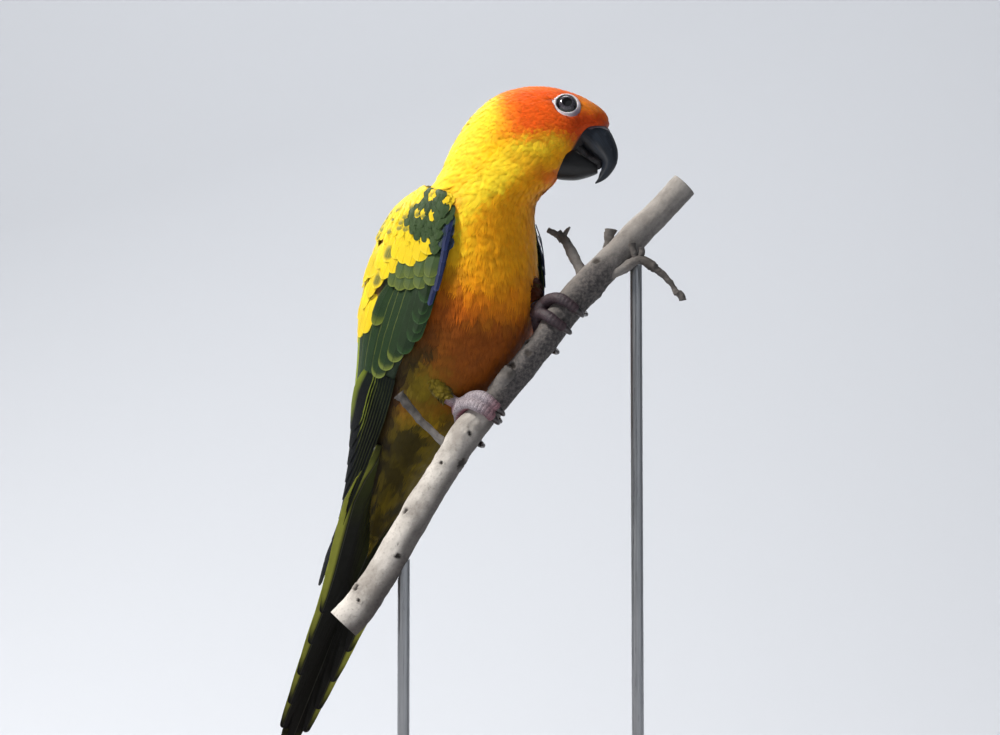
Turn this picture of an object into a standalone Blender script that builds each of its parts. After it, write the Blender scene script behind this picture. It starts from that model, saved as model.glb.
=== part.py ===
"""A life-size sun conure on a short cut branch, held by a plain display stand.

Blender 4.5, metres, +Z up. The origin is the centre of the stand's underside. The bird's lengths are
written in millimetres in its own side view: q runs forward, h runs up, and side runs to its left.
"""

import math

import bmesh
import bpy
import numpy as np
from mathutils import Matrix, Vector

MM = 0.001
GAP = 0.3

# Where the bird stands: a point on the axis that its neck turns about, level with the throat
DATUM = Vector((5.2, -17.0, 220.5))
BODY_HEADING = math.radians(43)
HEAD_HEADING = math.radians(86)
HEAD_ROLL = math.radians(10)
HEAD_LIFT = 1.2
# Rings of the body over which the neck turns and tilts the head
TURN_FROM, TURN_TO = 8.5, 13.5

# Rings of the body from the tail coverts to the bill: centre q and h, lean in degrees, half width,
# and the depth in front of and behind the centre
BODY_RINGS = (
    (-62.0, -121.0, 30, 3.0, 1.4, 1.4),
    (-57.5, -113.0, 30, 6.5, 3.2, 2.6),
    (-50.0, -99.5, 30, 11.0, 8.0, 5.0),
    (-43.5, -88.0, 30, 16.0, 13.5, 8.5),
    (-37.0, -76.0, 28, 21.0, 20.5, 16.0),
    (-29.5, -63.0, 24, 25.5, 27.5, 21.0),
    (-22.5, -48.0, 18, 29.0, 32.5, 26.0),
    (-17.0, -32.0, 13, 29.5, 33.0, 28.0),
    (-13.0, -18.0, 14, 27.0, 29.5, 27.0),
    (-8.5, -6.5, 16, 23.5, 25.5, 23.0),
    (-1.5, 0.5, 13, 18.8, 19.7, 19.2),
    (1.6, 5.6, 14, 16.6, 20.0, 20.0),
    (4.9, 10.7, 18, 15.4, 20.6, 20.6),
    (8.0, 15.9, 26, 14.8, 20.5, 20.5),
    (11.5, 19.8, 35, 14.4, 20.0, 21.0),
    (16.3, 24.0, 49, 14.1, 19.2, 20.4),
    (21.6, 26.4, 61, 13.6, 17.5, 18.5),
    (27.0, 27.6, 73, 12.6, 15.0, 15.8),
    (32.3, 28.0, 84, 10.9, 12.0, 12.7),
    (37.3, 27.6, 98, 8.6, 8.7, 9.4),
    (41.0, 26.9, 112, 6.4, 6.0, 6.7),
    (43.3, 25.8, 132, 4.0, 3.4, 3.9),
)
# Places on that table where the body is parted: torso from tail, neck from torso, head from neck
TAIL_CUT, NECK_CUT, HEAD_CUT = 2.4, 9.6, 13.0
BODY_SIDES = 24
TORSO_RINGS, NECK_RINGS, HEAD_RINGS, TAIL_RINGS = 11, 5, 16, 5

# Rings of the bed that the folded wings lie on: the torso, then on past the rump beside the tail
WING_BED = (
    (-5.0, 3.0, 14, 21.5, 21.5, 21.0),
    (-9.0, -7.0, 15, 26.0, 27.5, 26.0),
    (-13.0, -18.0, 14, 29.5, 31.0, 30.0),
    (-17.0, -32.0, 13, 31.5, 34.5, 31.0),
    (-22.5, -48.0, 18, 31.0, 34.0, 29.5),
    (-29.5, -63.0, 24, 27.5, 29.0, 25.0),
    (-37.0, -76.0, 28, 23.5, 22.0, 21.0),
    (-43.5, -88.0, 30, 20.5, 15.5, 16.5),
    (-52.0, -103.0, 30, 17.5, 11.0, 14.5),
    (-61.0, -119.0, 30, 15.5, 9.0, 13.5),
    (-72.0, -138.0, 30, 13.5, 8.0, 12.5),
    (-83.0, -157.0, 30, 12.0, 7.0, 11.5),
)

# Perch: a short cut length of branch. Each row is x, y, z and the radius, in millimetres
BRANCH_ROWS = (
    (-47.0, -22.0, 64.7, 6.6),
    (-41.5, -22.0, 70.6, 6.4),
    (-34.0, -22.0, 81.3, 6.0),
    (-24.6, -22.0, 97.5, 5.9),
    (-11.6, -22.0, 119.2, 5.6),
    (-4.3, -22.0, 131.0, 5.9),
    (4.0, -22.0, 141.5, 5.6),
    (11.8, -22.0, 150.0, 4.9),
    (24.7, -22.0, 166.5, 5.0),
    (36.7, -22.0, 182.8, 5.8),
    (55.8, -22.0, 202.8, 5.5),
    (78.0, -22.0, 226.0, 5.0),
)
BRANCH_SIDES, BRANCH_RINGS = 12, 18

# Broken twigs on the branch: the stops of each, and its radius at each stop
TWIGS = (
    (
        ((-8.0, -22.0, 128.0), (-13.0, -22.5, 133.0), (-20.0, -23.0, 140.0), (-27.0, -23.5, 148.5)),
        (2.0, 1.4, 1.5, 1.8),
    ),
    (
        ((42.0, -22.0, 188.0), (39.0, -20.0, 196.0), (34.5, -18.0, 205.0), (31.5, -17.0, 209.0)),
        (2.6, 2.0, 1.8, 1.5),
    ),
    (
        ((47.0, -22.0, 192.0), (54.0, -25.0, 194.0), (61.0, -27.0, 197.5), (67.0, -28.0, 194.0)),
        (2.8, 2.1, 1.8, 1.5),
    ),
    (((9.0, -21.0, 149.5), (12.0, -24.5, 154.0), (14.0, -26.0, 158.0)), (4.0, 3.4, 2.4)),
)

# Sections of the bill: the upper point, the lower point and the half width
UPPER_BILL = (
    ((38.0, 28.0), (28.0, 22.0), 5.4),
    ((42.3, 27.6), (31.0, 21.8), 5.7),
    ((45.8, 24.9), (34.0, 19.6), 5.7),
    ((47.4, 21.6), (36.4, 17.4), 5.3),
    ((48.4, 18.4), (38.4, 15.6), 4.7),
    ((48.6, 15.6), (40.6, 14.1), 4.0),
    ((48.2, 12.8), (42.3, 12.4), 3.1),
    ((46.9, 10.1), (42.3, 10.4), 2.2),
    ((44.6, 7.2), (41.6, 8.6), 1.3),
    ((42.4, 5.7), (41.1, 6.9), 0.8),
    ((40.2, 4.8), (40.0, 5.2), 0.3),
)
LOWER_BILL = (
    ((27.0, 20.0), (24.5, 7.4), 5.2),
    ((32.2, 19.8), (29.0, 6.7), 5.5),
    ((35.2, 17.0), (33.0, 6.6), 5.0),
    ((37.6, 14.6), (36.6, 7.4), 4.2),
    ((39.6, 13.2), (39.2, 8.2), 3.2),
    ((41.0, 12.2), (40.9, 8.9), 1.9),
)
# The cere: the centre and the direction of a thick disc at the root of the bill, and its half axes
CERE_AT, CERE_AHEAD, CERE_AXES = (39.5, 0.0, 24.0), (0.41, -0.91), (1.9, 6.0, 6.8)
NOSTRIL_AT, NOSTRIL_AXES = (44.5, 2.6, 26.6), (0.9, 0.8, 0.9)
EYE_AT = (30.2, 10.5, 32.8)
EYE_RADIUS, EYE_DEPTH = 5.0, 3.6
RING_RADIUS, RING_STRETCH = 4.6, 1.14

# Wings: the front edge of the folded wing, as a place on the bed and its angle in degrees
WING_EDGE = (
    (0.0, 74),
    (0.3, 64),
    (0.9, 56),
    (1.7, 51),
    (2.4, 51),
    (3.3, 57),
    (3.9, 64),
    (4.7, 70),
    (5.5, 74),
    (6.5, 77),
    (7.5, 86),
    (8.0, 94),
    (8.9, 112),
    (10.4, 124),
)
# The rise of the mantle over the bed, how far back the left wing is held in degrees, and a vane's thickness
MANTLE_RISE, LEFT_WING_BACK, VANE_THICK = 1.2, 5.0, 0.5
CORE_RINGS = 10

# How wide a vane is from root to tip, and how high it rises out of the wing on the way
VANE_SHAPE = ((0.0, 0.6, 0.0), (0.35, 1.0, 0.75), (0.86, 0.8, 1.0), (1.0, 0.25, 1.05))
COVERT_SHAPE = ((0.0, 0.7, 0.0), (0.6, 1.0, 0.95), (1.0, 0.35, 1.0))

# Tiers of the wing: how many vanes, how many places on the bed lie between root and tip, half width,
# lift at root and tip, shape, and the tips' places and angles from the front edge to the back
SECONDARY_TIPS = ((3.3, 61), (4.1, 70), (4.6, 79), (4.95, 88), (5.4, 101), (5.85, 118))
GREATER_TIPS = ((2.75, 58), (2.9, 70), (3.05, 82), (3.45, 92), (3.95, 104), (4.3, 122), (4.6, 143))
MEDIAN_TIPS = ((1.95, 58), (2.2, 70), (2.45, 82), (2.7, 98), (3.1, 118), (3.3, 143))
LESSER_TIPS = ((1.3, 59), (1.55, 74), (1.8, 92), (2.1, 114), (2.3, 142))
SHOULDER_TIPS = ((0.65, 68), (0.85, 84), (1.05, 104), (1.25, 134))
TIERS = {
    "secondary": (7, 1.9, 4.9, (-0.4, 2.0), VANE_SHAPE, SECONDARY_TIPS),
    "tertial": (2, 2.2, 6.0, (-0.4, 2.3), VANE_SHAPE, ((6.1, 132), (6.5, 148))),
    "greater covert": (6, 1.0, 5.3, (-0.4, 2.1), COVERT_SHAPE, GREATER_TIPS),
    "median covert": (5, 0.85, 5.6, (-0.4, 2.1), COVERT_SHAPE, MEDIAN_TIPS),
    "lesser covert": (4, 0.75, 6.4, (-0.4, 1.9), COVERT_SHAPE, LESSER_TIPS),
    "shoulder covert": (3, 0.6, 7.0, (-0.8, 1.7), COVERT_SHAPE, SHOULDER_TIPS),
    "primary covert": (3, 1.2, 3.4, (-0.4, 1.2), VANE_SHAPE, ((4.5, 72), (4.1, 70), (3.7, 66))),
    "alula": (2, 1.1, 3.2, (-0.3, 1.9), COVERT_SHAPE, ((3.15, 59), (2.85, 63))),
}
PRIMARY_COUNT, PRIMARY_ROOT, PRIMARY_TIP, PRIMARY_STEP, PRIMARY_HALF_WIDTH = 5, 5.0, 10.25, 0.78, 3.9

# Tail: pairs of vanes, the middle pair the longest and on top, each pair outside it shorter and lower
TAIL_ROOT = (-42.0, -86.0)
TAIL_LEAN = math.radians(32)
TAIL_ROLL = math.radians(20)
# Length, sideways offset and half width; the offset keeps the vanes of a pair off the middle line
TAIL_PAIRS = (
    (136, 1.2, 5.8),
    (128, 4.8, 4.4),
    (117, 5.8, 4.6),
    (104, 6.9, 4.7),
    (90, 7.8, 4.7),
    (76, 8.5, 4.5),
)
TAIL_STEP = 0.62

# Feet: each toe is a line of stops on the branch, a place along it and an angle round it in degrees
FEET = {
    "right": {
        "palm": (5.75, -8),
        "ankle": (-7.0, -13.5, -73.0),
        "leg": ((-13.5, -18.0, -54.0), (-11.2, -15.9, -65.0), (-7.4, -13.9, -72.3)),
        "front": (
            ((5.75, 0), (5.95, 45), (6.05, 90), (6.05, 124)),
            ((6.0, 0), (6.3, 45), (6.42, 85), (6.42, 116)),
        ),
        "hind": (
            ((5.6, -25), (5.35, -65), (5.25, -100), (5.3, -130)),
            ((5.9, -25), (6.1, -65), (6.2, -95), (6.2, -122)),
        ),
    },
    "left": {
        "palm": (8.55, -8),
        "ankle": (14.5, 11.0, -38.0),
        "leg": ((6.0, 13.0, -24.0), (10.1, 12.4, -32.0), (13.2, 11.8, -36.4)),
        "front": (
            ((8.45, 0), (8.5, 45), (8.5, 90), (8.5, 124)),
            ((8.7, 0), (8.85, 45), (8.9, 85), (8.9, 118)),
        ),
        "hind": (
            ((8.4, -25), (8.2, -65), (8.1, -100), (8.1, -130)),
            ((8.7, -25), (8.9, -65), (9.0, -95), (9.0, -122)),
        ),
    },
}
TOE_RADIUS, TOE_TIP_RADIUS = 2.3, 1.75
CLAW_TURN, TOE_RINGS = 42, 6
PALM_AXES, SHANK_RADII = (3.2, 4.4, 3.8), (2.4, 2.1, 2.3)
LEG_RADII = (6.5, 6.3, 3.8)

# Display stand: a flat base with two rods up to the branch, in metres
BASE_SIZE = (0.170, 0.140, 0.010)
BASE_ROUND = 0.012
ROD_RADIUS = 0.0022
ROD_AT = {"lower": (-0.025, -0.022), "upper": (0.060, -0.021)}


def smoothstep(low, high, x):
    u = min(1.0, max(0.0, (x - low) / (high - low)))
    return u * u * (3 - 2 * u)


def row_at(rows, t):
    """The table's row at place t, on a smooth curve through its rows."""
    last = len(rows) - 1
    t = min(max(t, 0.0), float(last))
    i = min(int(t), last - 1)
    u = t - i
    a, b, c, d = (np.array(rows[min(max(k, 0), last)], float) for k in (i - 1, i, i + 1, i + 2))
    return 0.5 * (2 * b + (c - a) * u + (2 * a - 5 * b + 4 * c - d) * u * u + (3 * b - a - 3 * c + d) * u**3)


def posed(q, side, h, turned=0.0):
    """A point of the bird's straight side view on its heading; turned is 1 where the head's pose is full."""
    heading = BODY_HEADING + (HEAD_HEADING - BODY_HEADING) * turned
    x = q * math.sin(heading) + side * math.cos(heading)
    y = -q * math.cos(heading) + side * math.sin(heading)
    roll = HEAD_ROLL * turned
    y, z = y * math.cos(roll) + h * math.sin(roll), h * math.cos(roll) - y * math.sin(roll)
    return (DATUM + Vector((x, y, z + HEAD_LIFT * turned))) * MM


def ring_point(row, angle, grow=0.0, turned=0.0):
    """A point on one ring: angle 0 is the breast, 90 degrees the bird's right, 180 the back."""
    q, h, lean, half_width, front, back = row
    lean = math.radians(lean)
    depth = (front if math.cos(angle) > 0 else back) + grow
    out = depth * math.cos(angle)
    side = -(half_width + grow) * math.sin(angle)
    return posed(q + out * math.cos(lean), side, h - out * math.sin(lean), turned)


def tube_point(rows, t, angle, grow=0.0):
    turned = smoothstep(TURN_FROM, TURN_TO, t) if rows is BODY_RINGS else 0.0
    return ring_point(row_at(rows, t), angle, grow, turned)


# Materials and objects


def material(name, colour, roughness, metallic=0.0):
    made = bpy.data.materials.new(name)
    made.use_nodes = True
    shader = made.node_tree.nodes["Principled BSDF"]
    shader.inputs["Base Color"].default_value = (*colour, 1.0)
    shader.inputs["Roughness"].default_value = roughness
    shader.inputs["Metallic"].default_value = metallic
    made.diffuse_color = (*colour, 1.0)
    return made


def collection(name, hidden=False):
    made = bpy.data.collections.new(name)
    bpy.context.scene.collection.children.link(made)
    made.hide_render = hidden
    return made


def mesh_object(name, points, faces, look, place=None):
    mesh = bpy.data.meshes.new(name)
    mesh.from_pydata([tuple(p) for p in points], [], faces)
    work = bmesh.new()
    work.from_mesh(mesh)
    bmesh.ops.recalc_face_normals(work, faces=work.faces)
    if work.calc_volume(signed=True) < 0:
        bmesh.ops.reverse_faces(work, faces=work.faces)
    work.to_mesh(mesh)
    work.free()
    made = bpy.data.objects.new(name, mesh)
    made.data.materials.append(look)
    (place or PARTS).objects.link(made)
    return made


def adopt(name, look, place=None, matrix=None):
    """The object that an operator has just made, named, shaped by a matrix and put in its collection."""
    made = bpy.context.object
    made.name = name
    for home in list(made.users_collection):
        home.objects.unlink(made)
    (place or PARTS).objects.link(made)
    made.data.materials.append(look)
    if matrix:
        made.data.transform(matrix)
        if matrix.determinant() < 0:
            made.data.flip_normals()
    return made


def loft(name, rings, look, place=None):
    """A closed body through rings of equal size, its ends closed by fans."""
    count = len(rings[0])
    points = [p for ring in rings for p in ring]
    faces = []
    for i in range(len(rings) - 1):
        for j in range(count):
            k = (j + 1) % count
            faces.append((i * count + j, i * count + k, (i + 1) * count + k, (i + 1) * count + j))
    for first in (0, (len(rings) - 1) * count):
        centre = sum((points[first + j] for j in range(count)), Vector()) / count
        points.append(centre)
        faces += [(first + j, first + (j + 1) % count, len(points) - 1) for j in range(count)]
    return mesh_object(name, points, faces, look, place)


def evaluated_mesh(obj):
    graph = bpy.context.evaluated_depsgraph_get()
    return bpy.data.meshes.new_from_object(obj.evaluated_get(graph), depsgraph=graph)


def apply_modifiers(obj):
    bpy.context.view_layer.update()
    mesh = evaluated_mesh(obj)
    obj.modifiers.clear()
    old, obj.data = obj.data, mesh
    bpy.data.meshes.remove(old)


def discard(objects):
    for obj in list(objects):
        bpy.data.objects.remove(obj)


def keep_largest(obj):
    """Leaves only the closed surface that holds the most."""
    work = bmesh.new()
    work.from_mesh(obj.data)
    bmesh.ops.triangulate(work, faces=work.faces)
    unseen = set(work.faces)
    shells = []
    while unseen:
        stack = [unseen.pop()]
        shell = set(stack)
        while stack:
            for edge in stack.pop().edges:
                for face in edge.link_faces:
                    if face in unseen:
                        unseen.remove(face)
                        shell.add(face)
                        stack.append(face)
        shells.append(shell)

    def volume(shell):
        return sum(f.verts[0].co.dot(f.verts[1].co.cross(f.verts[2].co)) for f in shell)

    shells.sort(key=volume, reverse=True)
    for shell in shells[1:]:
        bmesh.ops.delete(work, geom=list(shell), context="FACES")
    work.to_mesh(obj.data)
    work.free()


def grow(obj, reach):
    """Moves the whole surface of a form outwards, in millimetres."""
    work = bmesh.new()
    work.from_mesh(obj.data)
    work.normal_update()
    moves = [v.normal * min(v.calc_shell_factor(), 2.0) * reach * MM for v in work.verts]
    for v, move in zip(work.verts, moves):
        v.co += move
    work.to_mesh(obj.data)
    work.free()
    return obj


def carve(obj, cutters, solver="EXACT"):
    """Takes each cutter away from obj."""
    for cutter in cutters:
        cut = obj.modifiers.new("cut", "BOOLEAN")
        cut.operation = "DIFFERENCE"
        cut.solver = solver
        cut.object = cutter
        apply_modifiers(obj)
    keep_largest(obj)
    return obj


def fuse(base, pieces, solver="MANIFOLD"):
    """Joins the pieces to base as one closed body."""
    group = collection("pieces of " + base.name, hidden=True)
    for piece in pieces:
        for home in list(piece.users_collection):
            home.objects.unlink(piece)
        group.objects.link(piece)
    join = base.modifiers.new("join", "BOOLEAN")
    join.operation = "UNION"
    join.solver = solver
    join.operand_type = "COLLECTION"
    join.collection = group
    apply_modifiers(base)
    discard(group.objects)
    bpy.data.collections.remove(group)
    keep_largest(base)
    return base


def slice_off(obj, point, normal, keep_above):
    """Cuts obj flat at a plane, half a gap back from it, and closes the cut."""
    normal = normal.normalized() * (1 if keep_above else -1)
    work = bmesh.new()
    work.from_mesh(obj.data)
    cut = bmesh.ops.bisect_plane(
        work,
        geom=work.verts[:] + work.edges[:] + work.faces[:],
        plane_co=point + normal * GAP / 2 * MM,
        plane_no=normal,
        clear_inner=True,
    )
    edges = [e for e in cut["geom_cut"] if isinstance(e, bmesh.types.BMEdge)]
    bmesh.ops.edgeloop_fill(work, edges=edges)
    bmesh.ops.recalc_face_normals(work, faces=work.faces)
    work.to_mesh(obj.data)
    work.free()
    return obj


def vane(name, sections, thickness, look, place=None):
    """A thin closed leaf; each section is a row of points with normals, and both its faces split alike."""
    rows, columns = len(sections), len(sections[0])
    top = [point for section in sections for point, _ in section]
    points = top + [point - normal * thickness * MM for section in sections for point, normal in section]
    faces = []
    for i in range(rows - 1):
        for j in range(columns - 1):
            a, b, c, d = (r * columns + c for r, c in ((i, j), (i, j + 1), (i + 1, j + 1), (i + 1, j)))
            faces += [(a, b, c), (a, c, d)]
            faces += [tuple(v + len(top) for v in reversed(face)) for face in ((a, b, c), (a, c, d))]
    rim = [i * columns for i in range(rows)] + [(rows - 1) * columns + j for j in range(1, columns)]
    rim += [i * columns + columns - 1 for i in reversed(range(rows - 1))]
    rim += reversed(range(1, columns - 1))
    for a, b in zip(rim, rim[1:] + rim[:1]):
        faces += [(a, b, b + len(top)), (a, b + len(top), a + len(top))]
    return mesh_object(name, points, faces, look, place or CUTTERS)


def swept(name, centres, radii, look, sides=8, place=None):
    """A round body along a line of centres."""
    rings = []
    side = Vector((0.31, 0.17, 0.93))
    for i, (centre, radius) in enumerate(zip(centres, radii)):
        along = (centres[min(i + 1, len(centres) - 1)] - centres[max(i - 1, 0)]).normalized()
        side = (side - along * along.dot(side)).normalized()
        other = along.cross(side)
        turns = (2 * math.pi * j / sides for j in range(sides))
        spokes = [side * math.cos(turn) + other * math.sin(turn) for turn in turns]
        rings.append([centre + spoke * radius * MM for spoke in spokes])
    return loft(name, rings, look, place)


def ellipsoid(name, centre, axes, look, rings=8, sides=14, place=None):
    """A sphere stretched along three half axes, given as vectors; the first runs through its poles."""
    bpy.ops.mesh.primitive_uv_sphere_add(segments=sides, ring_count=rings, radius=1)
    pole, second, third = axes
    frame = Matrix((second, third, pole)).transposed().to_4x4()
    return adopt(name, look, place, Matrix.Translation(centre) @ frame)


def turned_body(name, centre, axis, across, profile, look, sides=20, stretch=1.0, place=None):
    """A ring spun about an axis from a closed profile of radius and height, in millimetres."""
    axis = axis.normalized()
    across = (across - axis * across.dot(axis)).normalized()
    mesh = bpy.data.meshes.new(name)
    work = bmesh.new()
    outline = [work.verts.new((radius * MM, 0, height * MM)) for radius, height in profile]
    edges = [work.edges.new((a, b)) for a, b in zip(outline, outline[1:] + outline[:1])]
    full = {"axis": (0, 0, 1), "cent": (0, 0, 0), "angle": 2 * math.pi, "steps": sides, "use_merge": True}
    bmesh.ops.spin(work, geom=outline + edges, **full)
    frame = Matrix((across * stretch, axis.cross(across), axis)).transposed().to_4x4()
    work.transform(Matrix.Translation(centre) @ frame)
    bmesh.ops.recalc_face_normals(work, faces=work.faces)
    if work.calc_volume(signed=True) < 0:
        bmesh.ops.reverse_faces(work, faces=work.faces)
    work.to_mesh(mesh)
    work.free()
    made = bpy.data.objects.new(name, mesh)
    made.data.materials.append(look)
    (place or PARTS).objects.link(made)
    return made


# The body as one form, and the planes that part it


def body_length(name, first, last, count, look, place=None):
    rings = []
    for i in range(count + 1):
        t = first + (last - first) * i / count
        rings.append([tube_point(BODY_RINGS, t, 2 * math.pi * j / BODY_SIDES) for j in range(BODY_SIDES)])
    made = loft(name, rings, look, place)
    # Triangles, so that a part and a cutter of the same form bend along the same lines
    work = bmesh.new()
    work.from_mesh(made.data)
    bmesh.ops.triangulate(work, faces=work.faces, quad_method="FIXED")
    work.to_mesh(made.data)
    work.free()
    return made


def cut_plane(t):
    """A point and a normal of the plane across the body at place t."""
    step = 0.1
    front, right, back, left = (tube_point(BODY_RINGS, t, quarter * math.pi / 2) for quarter in range(4))
    normal = (front - back).cross(right - left)
    ahead = tube_point(BODY_RINGS, t + step, 0.0) + tube_point(BODY_RINGS, t + step, math.pi)
    if normal.dot(ahead / 2 - (front + back) / 2) < 0:
        normal.negate()
    return (front + back) / 2, normal.normalized()


def body_forms(reach):
    """Cutters in the shape of the torso, the neck and the tail's root, grown by a gap."""
    lengths = ((TAIL_CUT - 1, NECK_CUT + 1, TORSO_RINGS), (NECK_CUT - 1, HEAD_CUT + 1, NECK_RINGS))
    lengths += ((0.0, TAIL_CUT + 1, TAIL_RINGS),)
    return [grow(body_length("body form", *length, YELLOW, CUTTERS), reach) for length in lengths]


def clear_scene():
    for obj in list(bpy.data.objects):
        bpy.data.objects.remove(obj)


clear_scene()
PARTS = collection("sun_conure")
CUTTERS = collection("cutters", hidden=True)

YELLOW = material("yellow_feather", (0.95, 0.62, 0.05), 0.75)
ORANGE = material("orange_feather", (0.9, 0.28, 0.03), 0.75)
WING_GREEN = material("green_feather", (0.16, 0.27, 0.08), 0.6)
TAIL_OLIVE = material("olive_feather", (0.2, 0.24, 0.06), 0.6)
BILL_BLACK = material("bill_horn", (0.03, 0.03, 0.04), 0.35)
BARE_SKIN = material("bare_skin", (0.8, 0.76, 0.74), 0.55)
EYE_DARK = material("eye", (0.05, 0.04, 0.04), 0.05)
FOOT_GREY = material("foot_scale", (0.42, 0.36, 0.38), 0.6)
CLAW_DARK = material("claw_horn", (0.05, 0.045, 0.045), 0.4)
BARK = material("bark", (0.42, 0.38, 0.34), 0.85)
STEEL = material("rod_steel", (0.6, 0.6, 0.6), 0.3, 1.0)
PLINTH = material("plinth_wood", (0.09, 0.06, 0.045), 0.45)


def build_body():
    last = len(BODY_RINGS) - 1
    cuts = {"torso": cut_plane(TAIL_CUT), "neck": cut_plane(NECK_CUT), "head": cut_plane(HEAD_CUT)}
    torso = body_length("torso", TAIL_CUT - 1, NECK_CUT + 1, TORSO_RINGS, YELLOW)
    slice_off(torso, *cuts["torso"], keep_above=True)
    slice_off(torso, *cuts["neck"], keep_above=False)
    neck = body_length("neck", NECK_CUT - 1, HEAD_CUT + 1, NECK_RINGS, YELLOW)
    slice_off(neck, *cuts["neck"], keep_above=True)
    slice_off(neck, *cuts["head"], keep_above=False)
    head = body_length("head", HEAD_CUT - 1, last, HEAD_RINGS, ORANGE)
    slice_off(head, *cuts["head"], keep_above=True)
    return torso, neck, head


TORSO, NECK, HEAD = build_body()


def branch_at(t):
    """Centre, direction and radius of the branch at place t on its table."""
    row, ahead, behind = (row_at(BRANCH_ROWS, u) for u in (t, t + 0.05, t - 0.05))
    return Vector(row[:3]) * MM, Vector(ahead[:3] - behind[:3]).normalized(), row[3]


def branch_surface(t, angle, lift=0.0):
    """A point on the bark: angle 0 is its upper side, 90 degrees the side towards -Y."""
    centre, along, radius = branch_at(t)
    across = Vector((0, -1, 0))
    up = across.cross(along).normalized()
    if up.z < 0:
        up.negate()
    return centre + (up * math.cos(angle) + across * math.sin(angle)) * (radius + lift) * MM


def branch_tube(name, place=None):
    rings = []
    for i in range(BRANCH_RINGS + 1):
        t = (len(BRANCH_ROWS) - 1) * i / BRANCH_RINGS
        rings.append([branch_surface(t, 2 * math.pi * j / BRANCH_SIDES) for j in range(BRANCH_SIDES)])
    return loft(name, rings, BARK, place)


def bark_form():
    return grow(branch_tube("bark form", CUTTERS), GAP)


def build_perch():
    """The branch with its broken twigs and a knob of bark."""
    perch = branch_tube("perch")
    twigs = []
    for k, (stops, radii) in enumerate(TWIGS):
        twigs.append(swept(f"twig {k}", [Vector(stop) * MM for stop in stops], radii, BARK, place=CUTTERS))
    return fuse(perch, twigs)


PERCH = build_perch()

# Head: bill, cere, eyes and their rings


def head_point(q, side, h):
    return posed(q, side, h, turned=1.0)


def bill_half(name, sections, place=None, sides=12):
    rings = []
    for (q0, h0), (q1, h1), half_width in sections:
        ring = []
        for j in range(sides):
            turn = 2 * math.pi * j / sides
            up = (1 + math.cos(turn)) / 2
            ring.append(head_point(q1 + (q0 - q1) * up, half_width * math.sin(turn), h1 + (h0 - h1) * up))
        rings.append(ring)
    return loft(name, rings, BILL_BLACK, place)


def head_step(q, side, h):
    """A step of the head's side view, as a vector."""
    return head_point(q, side, h) - head_point(0, 0, 0)


def cere_disc(name, place=None):
    ahead = head_step(CERE_AHEAD[0], 0, CERE_AHEAD[1]).normalized()
    across = head_step(0, 1, 0).normalized()
    axes = [way * reach * MM for way, reach in zip((ahead, across, across.cross(ahead)), CERE_AXES)]
    return ellipsoid(name, head_point(*CERE_AT), axes, BARE_SKIN, 8, 14, place)


def build_bill():
    last = len(BODY_RINGS) - 1
    head_form = grow(body_length("head form", HEAD_CUT - 1, last, HEAD_RINGS, ORANGE, CUTTERS), GAP)
    cere = cere_disc("cere")
    q, side, h = NOSTRIL_AT
    axes = [head_step(*way) * reach for way, reach in zip(((1, 0, 0), (0, 1, 0), (0, 0, 1)), NOSTRIL_AXES)]
    places = [head_point(q, hand * side, h) for hand in (-1, 1)]
    nostrils = [ellipsoid("nostril", place, axes, BARE_SKIN, place=CUTTERS) for place in places]
    carve(cere, [head_form, *nostrils])
    upper = bill_half("bill_upper", UPPER_BILL)
    carve(upper, [head_form, grow(cere_disc("cere form", CUTTERS), GAP)])
    lower = bill_half("bill_lower", LOWER_BILL)
    carve(lower, [head_form, grow(bill_half("upper form", UPPER_BILL, CUTTERS), GAP)])
    carve(lower, [grow(cere_disc("cere form", CUTTERS), GAP)])
    return cere, upper, lower


def build_eye(name, side):
    """An eyeball in a ring of bare skin with its lids, both let into the head."""
    out = head_step(0.16, side, 0.12).normalized()
    forward = head_step(1, 0, 0)
    centre = head_point(EYE_AT[0], side * EYE_AT[1], EYE_AT[2])
    ball = centre - out * EYE_DEPTH * MM
    across = forward.cross(out).normalized()

    def eyeball(label, place=None):
        axes = [way * EYE_RADIUS * MM for way in (out, across, out.cross(across))]
        return ellipsoid(label, ball, axes, EYE_DARK, 8, 16, place)

    def ring(label, reach=0.0, rise=0.0, place=None):
        profile = (
            (RING_RADIUS + reach, -2.9 - reach),
            (RING_RADIUS + reach, -0.75 + rise),
            (RING_RADIUS - 0.4, -0.25 + rise),
            (RING_RADIUS - 0.8, 0.4 + rise),
            (RING_RADIUS - 1.1, 0.42 + rise),
            (RING_RADIUS - 1.3, -0.2),
            (RING_RADIUS - 1.3, -2.9 - reach),
        )
        return turned_body(label, centre, out, forward, profile, BARE_SKIN, 16, RING_STRETCH, place)

    eye = eyeball("eye_" + name)
    eye_ring = ring("eye_ring_" + name)
    carve(eye_ring, [grow(eyeball("ball form", CUTTERS), GAP)])
    carve(HEAD, [ring("ring form", GAP, 2.0, CUTTERS), grow(eyeball("ball form", CUTTERS), GAP)])
    return eye, eye_ring


BILL = build_bill()
EYES = build_eye("left", 1) + build_eye("right", -1)

# Wings: each lies on the bed, and the left one mirrors the right

def table_at(table, x):
    places, values = zip(*table)
    return float(np.interp(x, places, values))


def bed_point(t, degrees, lift, hand):
    """A point over the wing bed; hand is 1 for the right wing and -1 for the left, held further back."""
    rise = MANTLE_RISE * smoothstep(80, 125, degrees) * (1 - smoothstep(138, 165, degrees))
    rise *= 1 - smoothstep(6.5, 9.0, t)
    back = LEFT_WING_BACK * (1 - smoothstep(5.0, 8.0, t)) if hand < 0 else 0.0
    return tube_point(WING_BED, t, hand * math.radians(degrees + back), lift + rise)


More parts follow.
